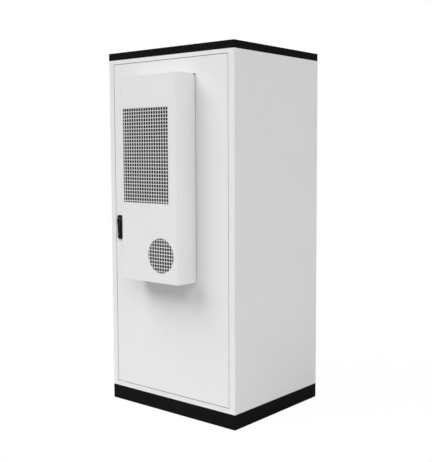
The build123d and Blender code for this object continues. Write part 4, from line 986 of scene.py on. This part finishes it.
# ---------- swing handle ----------
@dataclass
class SwingHandle(Assembly):
    """The black swing handle: escutcheon, moulded lever and the key's bezel."""
    rim: float = 2.2 * MM
    key_clear: float = 0.6 * MM
    barrel_half: float = 8.5 * MM
    barrel_front: float = 2.2 * MM      # lever's material in front of the barrel
    lift: float = 36.0                  # degrees that the lever's back is relieved for, above its pin
    sides: int = 20
    fullness: float = 0.62              # 1 gives a round section, less a squarer one
    grip_edge: float = 0.4 * MM
    grip_angle: float = 50.0            # degrees
    hole_sides: int = 40
    # share of the length, of the half width and of the depth, from the lower end up
    stations: tuple = ((0.0, 0.34, 0.42), (0.012, 0.52, 0.56), (0.035, 0.70, 0.68), (0.07, 0.82, 0.76),
                       (0.13, 0.88, 0.80), (0.22, 0.88, 0.80), (0.36, 0.86, 0.80), (0.50, 0.86, 0.84),
                       (0.60, 0.91, 0.92), (0.69, 0.97, 0.98), (0.78, 1.0, 1.0), (0.86, 0.98, 0.96),
                       (0.92, 0.90, 0.88), (0.96, 0.76, 0.78), (0.985, 0.56, 0.64), (1.0, 0.34, 0.48))

    def build(self) -> None:
        """Make every piece of the handle."""
        self.base()
        self.lever()
        self.bezel()

    def base(self) -> None:
        """The escutcheon, with its own openings kept."""
        self.soften("handle_base", self.rim, 4)

    def lever(self) -> None:
        """The moulded lever, hollow round the spindle's barrel and open for the key."""
        low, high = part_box("handle_lever")
        middle, half = (low.x + high.x) / 2, (high.x - low.x) / 2
        rings = []
        for along, wide, deep in self.stations:
            ring = []
            for n in range(self.sides + 1):
                turn = pi * n / self.sides
                out, forward = abs(cos(turn)) ** self.fullness, sin(turn) ** self.fullness
                x = middle + wide * half * out * (1 if turn < pi / 2 else -1)
                y = high.y - deep * (high.y - low.y) * forward
                ring.append(Vector((x, y, low.z + along * (high.z - low.z))))
            rings.append(ring)
        thing = Form().loft(rings).holder("lever_grip")
        key_low, key_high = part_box("key_cylinder")
        key = ((key_low.x + key_high.x) / 2, (key_low.z + key_high.z) / 2)
        key_radius = (key_high.x - key_low.x) / 2 + self.key_clear
        cut(thing, Form().prism(circle(key, key_radius, self.hole_sides), low.y - MM, high.y + MM))
        pin_low, pin_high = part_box("lever_pin")
        barrel = (pin_low.z + pin_high.z) / 2
        outline = rounded((middle - self.barrel_half, barrel - 2 * self.barrel_half),
                          (middle + self.barrel_half, barrel + self.barrel_half), 2 * MM)
        cut(thing, Form().prism(outline, low.y + self.barrel_front, high.y + MM))
        cut(thing, self.relief(low, high, (pin_low.y + pin_high.y) / 2, barrel))
        ease(thing, self.grip_edge, 2, self.grip_angle)
        self.keep(thing, Slot.HANDLE, "lever", "handle_lever")

    def relief(self, low: Vector, high: Vector, pin_y: float, pin_z: float) -> Form:
        """What goes from the lever's back above its pin, so that it can tip.

        Args:
            low: The lever's lowest corner.
            high: Its highest corner.
            pin_y: Y of the pin.
            pin_z: Z of the pin.

        Returns:
            The tool.
        """
        turn, reach, back = radians(self.lift), high.z - pin_z + MM, high.y - pin_y
        top_back = (back - reach * sin(turn)) / cos(turn)
        start = back * (1 - cos(turn)) / sin(turn)
        return Form().prism([(pin_y + back, pin_z + start), (pin_y + top_back, pin_z + reach),
                             (pin_y + back + MM, pin_z + reach), (pin_y + back + MM, pin_z + start)],
                            low.x - MM, high.x + MM, "X")

    def bezel(self) -> None:
        """A thin ring round the key on the lever."""
        low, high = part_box("key_cylinder")
        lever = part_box("handle_lever")[0]
        middle, radius = ((low.x + high.x) / 2, (low.z + high.z) / 2), (high.x - low.x) / 2
        profile = [(radius + 2 * MM, lever.y + 3.5 * MM), (radius + 2 * MM, lever.y + 1.2 * MM),
                   (radius + 1.5 * MM, lever.y + 0.7 * MM)]
        ring = Form().turned(profile, middle, sides=self.hole_sides).holder("key_ring")
        opening = circle(middle, radius + 0.4 * MM, self.hole_sides)
        cut(ring, Form().prism(opening, lever.y - MM, lever.y + 5 * MM))
        self.keep(ring, Slot.HANDLE, "lever")


# ---------- inside ----------
@dataclass(frozen=True)
class Stud:
    """A round head with a chamfered face, such as a screw's."""
    radius: float
    straight: float     # height of the straight side
    face: float         # radius of the face
    height: float
    sides: int

    def add(self, form: Form, front: float, place: Point2) -> None:
        """Add one to a form, with its foot at a place on the plane Y = front."""
        form.turned([(self.radius, front), (self.radius, front - self.straight),
                     (self.face, front - self.height)], place, sides=self.sides)


@dataclass
class BatteryRack(Assembly):
    """The battery packs' fronts: handles, screws, sockets and lights."""
    columns: tuple = (-193 * MM, 193 * MM)
    width: float = 356 * MM
    front: float = -314 * MM
    handle_out: float = 20 * MM
    handle_bar: float = 4 * MM
    handle_half: float = 42 * MM
    handle_place: float = 160 * MM
    handle_bend: float = 6 * MM
    levels: int = 6
    screw: Stud = Stud(4 * MM, 2 * MM, 3 * MM, 3 * MM, 20)
    screw_inset: Point2 = (8 * MM, 10 * MM)
    light: Stud = Stud(1.8 * MM, 1 * MM, 1.2 * MM, 1.6 * MM, 16)
    lights_along: Point2 = (34, 7)      # the first light and the step, in mm from the pack's middle
    lights: int = 5
    port: Point2 = (16 * MM, 14 * MM)
    port_out: float = 3 * MM
    pack_edge: float = 1.2 * MM

    def build(self) -> None:
        """Make every piece of the rack."""
        handles, screws, ports, lights = Form(), Form(), Form(), Form()
        for level in range(1, self.levels + 1):
            low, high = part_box(f"battery_packs_{level}")
            middle = (low.z + high.z) / 2
            for x in self.columns:
                for side in (-1, 1):
                    self.handle(handles, x + side * self.handle_place, middle)
                    for z in (low.z + self.screw_inset[1], high.z - self.screw_inset[1]):
                        out = side * (self.width / 2 - self.screw_inset[0])
                        self.screw.add(screws, self.front, (x + out, z))
                for n in range(2):
                    where = (x - 20 * MM + 22 * n * MM, middle - 8 * MM)
                    ports.prism(rounded(where, (where[0] + self.port[0], where[1] + self.port[1]), 1 * MM),
                                self.front - self.port_out, self.front)
                first, step = self.lights_along
                for n in range(self.lights):
                    self.light.add(lights, self.front, (x + (first + step * n) * MM, middle))
            self.soften(f"battery_packs_{level}", self.pack_edge)
        for form, name, slot in ((handles, "pack_handles", Slot.PLASTIC), (screws, "pack_screws", Slot.ZINC),
                                 (ports, "pack_ports", Slot.PLASTIC),
                                 (lights, "pack_lights", Slot.WHITE_PLASTIC)):
            self.keep(form.holder(name), slot, "cabinet")

    def handle(self, form: Form, x: float, z: float) -> None:
        """Add one upright bar handle.

        Args:
            form: The form to add to.
            x: The handle's place across the pack's front.
            z: The height of its middle.
        """
        out, bend, half = self.front - self.handle_out, self.handle_bend, self.handle_half
        path = [(self.front, z - half), (out + bend, z - half), (out, z - half + bend),
                (out, z + half - bend), (out + bend, z + half), (self.front, z + half)]
        form.pipe([Vector((x, y, up)) for y, up in path], self.handle_bar)


@dataclass
class ControlBox(Assembly):
    """The control box's front: display, row of breakers and screws."""
    display: Point2 = (120 * MM, 60 * MM)
    display_x: float = -250 * MM
    breakers: int = 7
    breaker: Point2 = (17.5 * MM, 46 * MM)
    breaker_x: float = -90 * MM         # left edge of the row
    breaker_gap: float = 0.5 * MM
    breaker_out: float = 6 * MM
    toggle: tuple = ((5 * MM, -5 * MM), (12.5 * MM, 9 * MM))    # its corners, from the breaker's left middle
    toggle_out: float = 14 * MM
    display_rim: float = 8 * MM
    screw: Stud = Stud(5 * MM, 2 * MM, 3.5 * MM, 3.2 * MM, 24)
    screw_inset: float = 12 * MM
    edge: float = 1.5 * MM

    def build(self) -> None:
        """Make every piece of the control box's front."""
        low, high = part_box("control_box")
        front, middle = low.y, (low.z + high.z) / 2
        self.soften("control_box", self.edge)
        self.soften("isolator_plate", 1.0 * MM)
        self.soften("isolator_knob", self.edge, FINE)
        self.bezel(front, middle)
        bodies, toggles, screws = Form(), Form(), Form()
        for n in range(self.breakers):
            x, half = self.breaker_x + n * (self.breaker[0] + self.breaker_gap), self.breaker[1] / 2
            (left, bottom), (right, top) = self.toggle
            bodies.prism(rounded((x, middle - half), (x + self.breaker[0], middle + half), 1 * MM),
                         front - self.breaker_out, front)
            toggles.prism(rounded((x + left, middle + bottom), (x + right, middle + top), 1 * MM),
                          front - self.toggle_out, front - self.breaker_out)
        for x in (low.x + self.screw_inset, high.x - self.screw_inset):
            for z in (low.z + self.screw_inset, high.z - self.screw_inset):
                self.screw.add(screws, front, (x, z))
        for form, name, slot in ((bodies, "breakers", Slot.WHITE_PLASTIC),
                                 (toggles, "breaker_levers", Slot.PLASTIC),
                                 (screws, "control_screws", Slot.ZINC)):
            thing = form.holder(name)
            ease(thing, 0.5 * MM)
            self.keep(thing, slot, "cabinet")

    def bezel(self, front: float, middle: float) -> None:
        """The display's raised rim round its sunken glass.

        Args:
            front: Y of the box's front.
            middle: Z of the box's middle.
        """
        rim, (wide, tall) = self.display_rim, self.display
        left, bottom = self.display_x - wide / 2, middle - tall / 2
        outline = rounded((left, bottom), (left + wide, bottom + tall), 4 * MM)
        bezel = Form().prism(outline, front - 5 * MM, front).holder("display_bezel")
        opening = rounded((left + rim, bottom + rim), (left + wide - rim, bottom + tall - rim), 1.5 * MM)
        cut(bezel, Form().prism(opening, front - 7 * MM, front - 3 * MM))
        ease(bezel, 0.6 * MM)
        self.keep(bezel, Slot.PLASTIC, "cabinet")


# ---------- studio ----------
@dataclass
class Studio:
    """The camera, the lights, the world and the floor."""
    eye: Point3 = (3.231, -3.672, 1.533)
    turn: Point3 = (85.07, 0.04, 38.48)     # degrees
    lens: float = 61.14
    shift: Point2 = (-0.0805, -0.0182)
    ambient: float = 0.13
    lamps: tuple = (            # name, strength, degrees to the right of the front, up, width
        ("left", 2.3, -36.0, 48.0, 44.0),
        ("right", 1.0, 40.0, 35.0, 36.0),
        ("side", 0.92, 96.0, 16.0, 50.0),
        ("back", 0.7, 200.0, 30.0, 60.0))
    sight: float = 100.0
    floor_size: float = 30.0
    floor_tones: Point2 = (0.535, 0.545)
    floor_lumps: float = 1.5                # to the metre
    glow: float = 1.013                     # how bright the camera sees the bare floor
    seen: float = 0.97                      # share of the glow in what the camera sees

    def build(self) -> None:
        """Set up everything round the object."""
        self.camera()
        for lamp in self.lamps:
            self.sun(*lamp)
        self.world()
        self.floor()
        bpy.context.scene.view_settings.view_transform = "Standard"

    def camera(self) -> None:
        """Place the camera."""
        data = bpy.data.cameras.new("camera")
        data.lens = self.lens
        data.shift_x, data.shift_y = self.shift
        data.clip_end = self.sight
        holder = placed("camera", data)
        holder.location = self.eye
        holder.rotation_euler = Euler([radians(part) for part in self.turn])
        bpy.context.scene.camera = holder

    def sun(self, name: str, strength: float, side: float, up: float, soft: float) -> None:
        """Add a broad, even light.

        Args:
            name: The light's name.
            strength: Its strength, square on.
            side: Where it comes from, in degrees to the right of the front.
            up: Its elevation, in degrees.
            soft: How wide it is, in degrees.
        """
        data = bpy.data.lights.new(name, "SUN")
        data.energy = strength
        data.angle = radians(soft)
        holder = placed(name, data)
        around, above = radians(side), radians(up)
        source = Vector((sin(around) * cos(above), -cos(around) * cos(above), sin(above)))
        holder.rotation_euler = source.to_track_quat("Z", "Y").to_euler()

    def world(self) -> None:
        """A plain even world that the camera sees as white."""
        world = bpy.data.worlds.new("world")
        world.use_nodes = True
        nodes = Nodes(world.node_tree)
        seen = nodes.node("ShaderNodeLightPath", output="Is Camera Ray")
        colour = nodes.mix(seen, (self.ambient,) * 3, WHITE)
        nodes.surface(nodes.node("ShaderNodeBackground", sockets={"Color": colour}), "ShaderNodeOutputWorld")
        bpy.context.scene.world = world

    def floor(self) -> None:
        """A pale floor that keeps a faint shadow of the object."""
        half = self.floor_size / 2
        form = Form()
        form.mesh.faces.new([form.mesh.verts.new((x * half, y * half, 0.0))
                             for x, y in ((-1, -1), (1, -1), (1, 1), (-1, 1))])
        thing = form.holder("floor")
        shader = Shader("studio floor")
        dark, light = self.floor_tones
        matt = shader.node("ShaderNodeBsdfPrincipled", sockets={
            "Base Color": shader.mix(shader.noise(self.floor_lumps), (dark,) * 3, (light,) * 3),
            "Roughness": 0.9, "Specular IOR Level": 0.1})
        glow = shader.node("ShaderNodeEmission", sockets={"Color": (*WHITE, 1.0), "Strength": self.glow})
        seen = self.seen * shader.node("ShaderNodeLightPath", output="Is Camera Ray")
        shader.surface(shader.node("ShaderNodeMixShader", sockets={0: seen, 1: matt, 2: glow}))
        thing.data.materials.append(shader.material)


def main() -> None:
    """Build the object's looks and its studio."""
    logging.basicConfig(level=logging.INFO, format="%(message)s")
    palette = Palette()
    palette.dress_frame()
    for assembly in (Enclosure, Door, AirConditioner, SwingHandle, BatteryRack, ControlBox):
        made = assembly(palette)
        made.build()
        log.info("%s: %s", assembly.__name__, ", ".join(piece.name for piece in made.pieces))
    Studio().build()


if __name__ == "__main__":
    main()
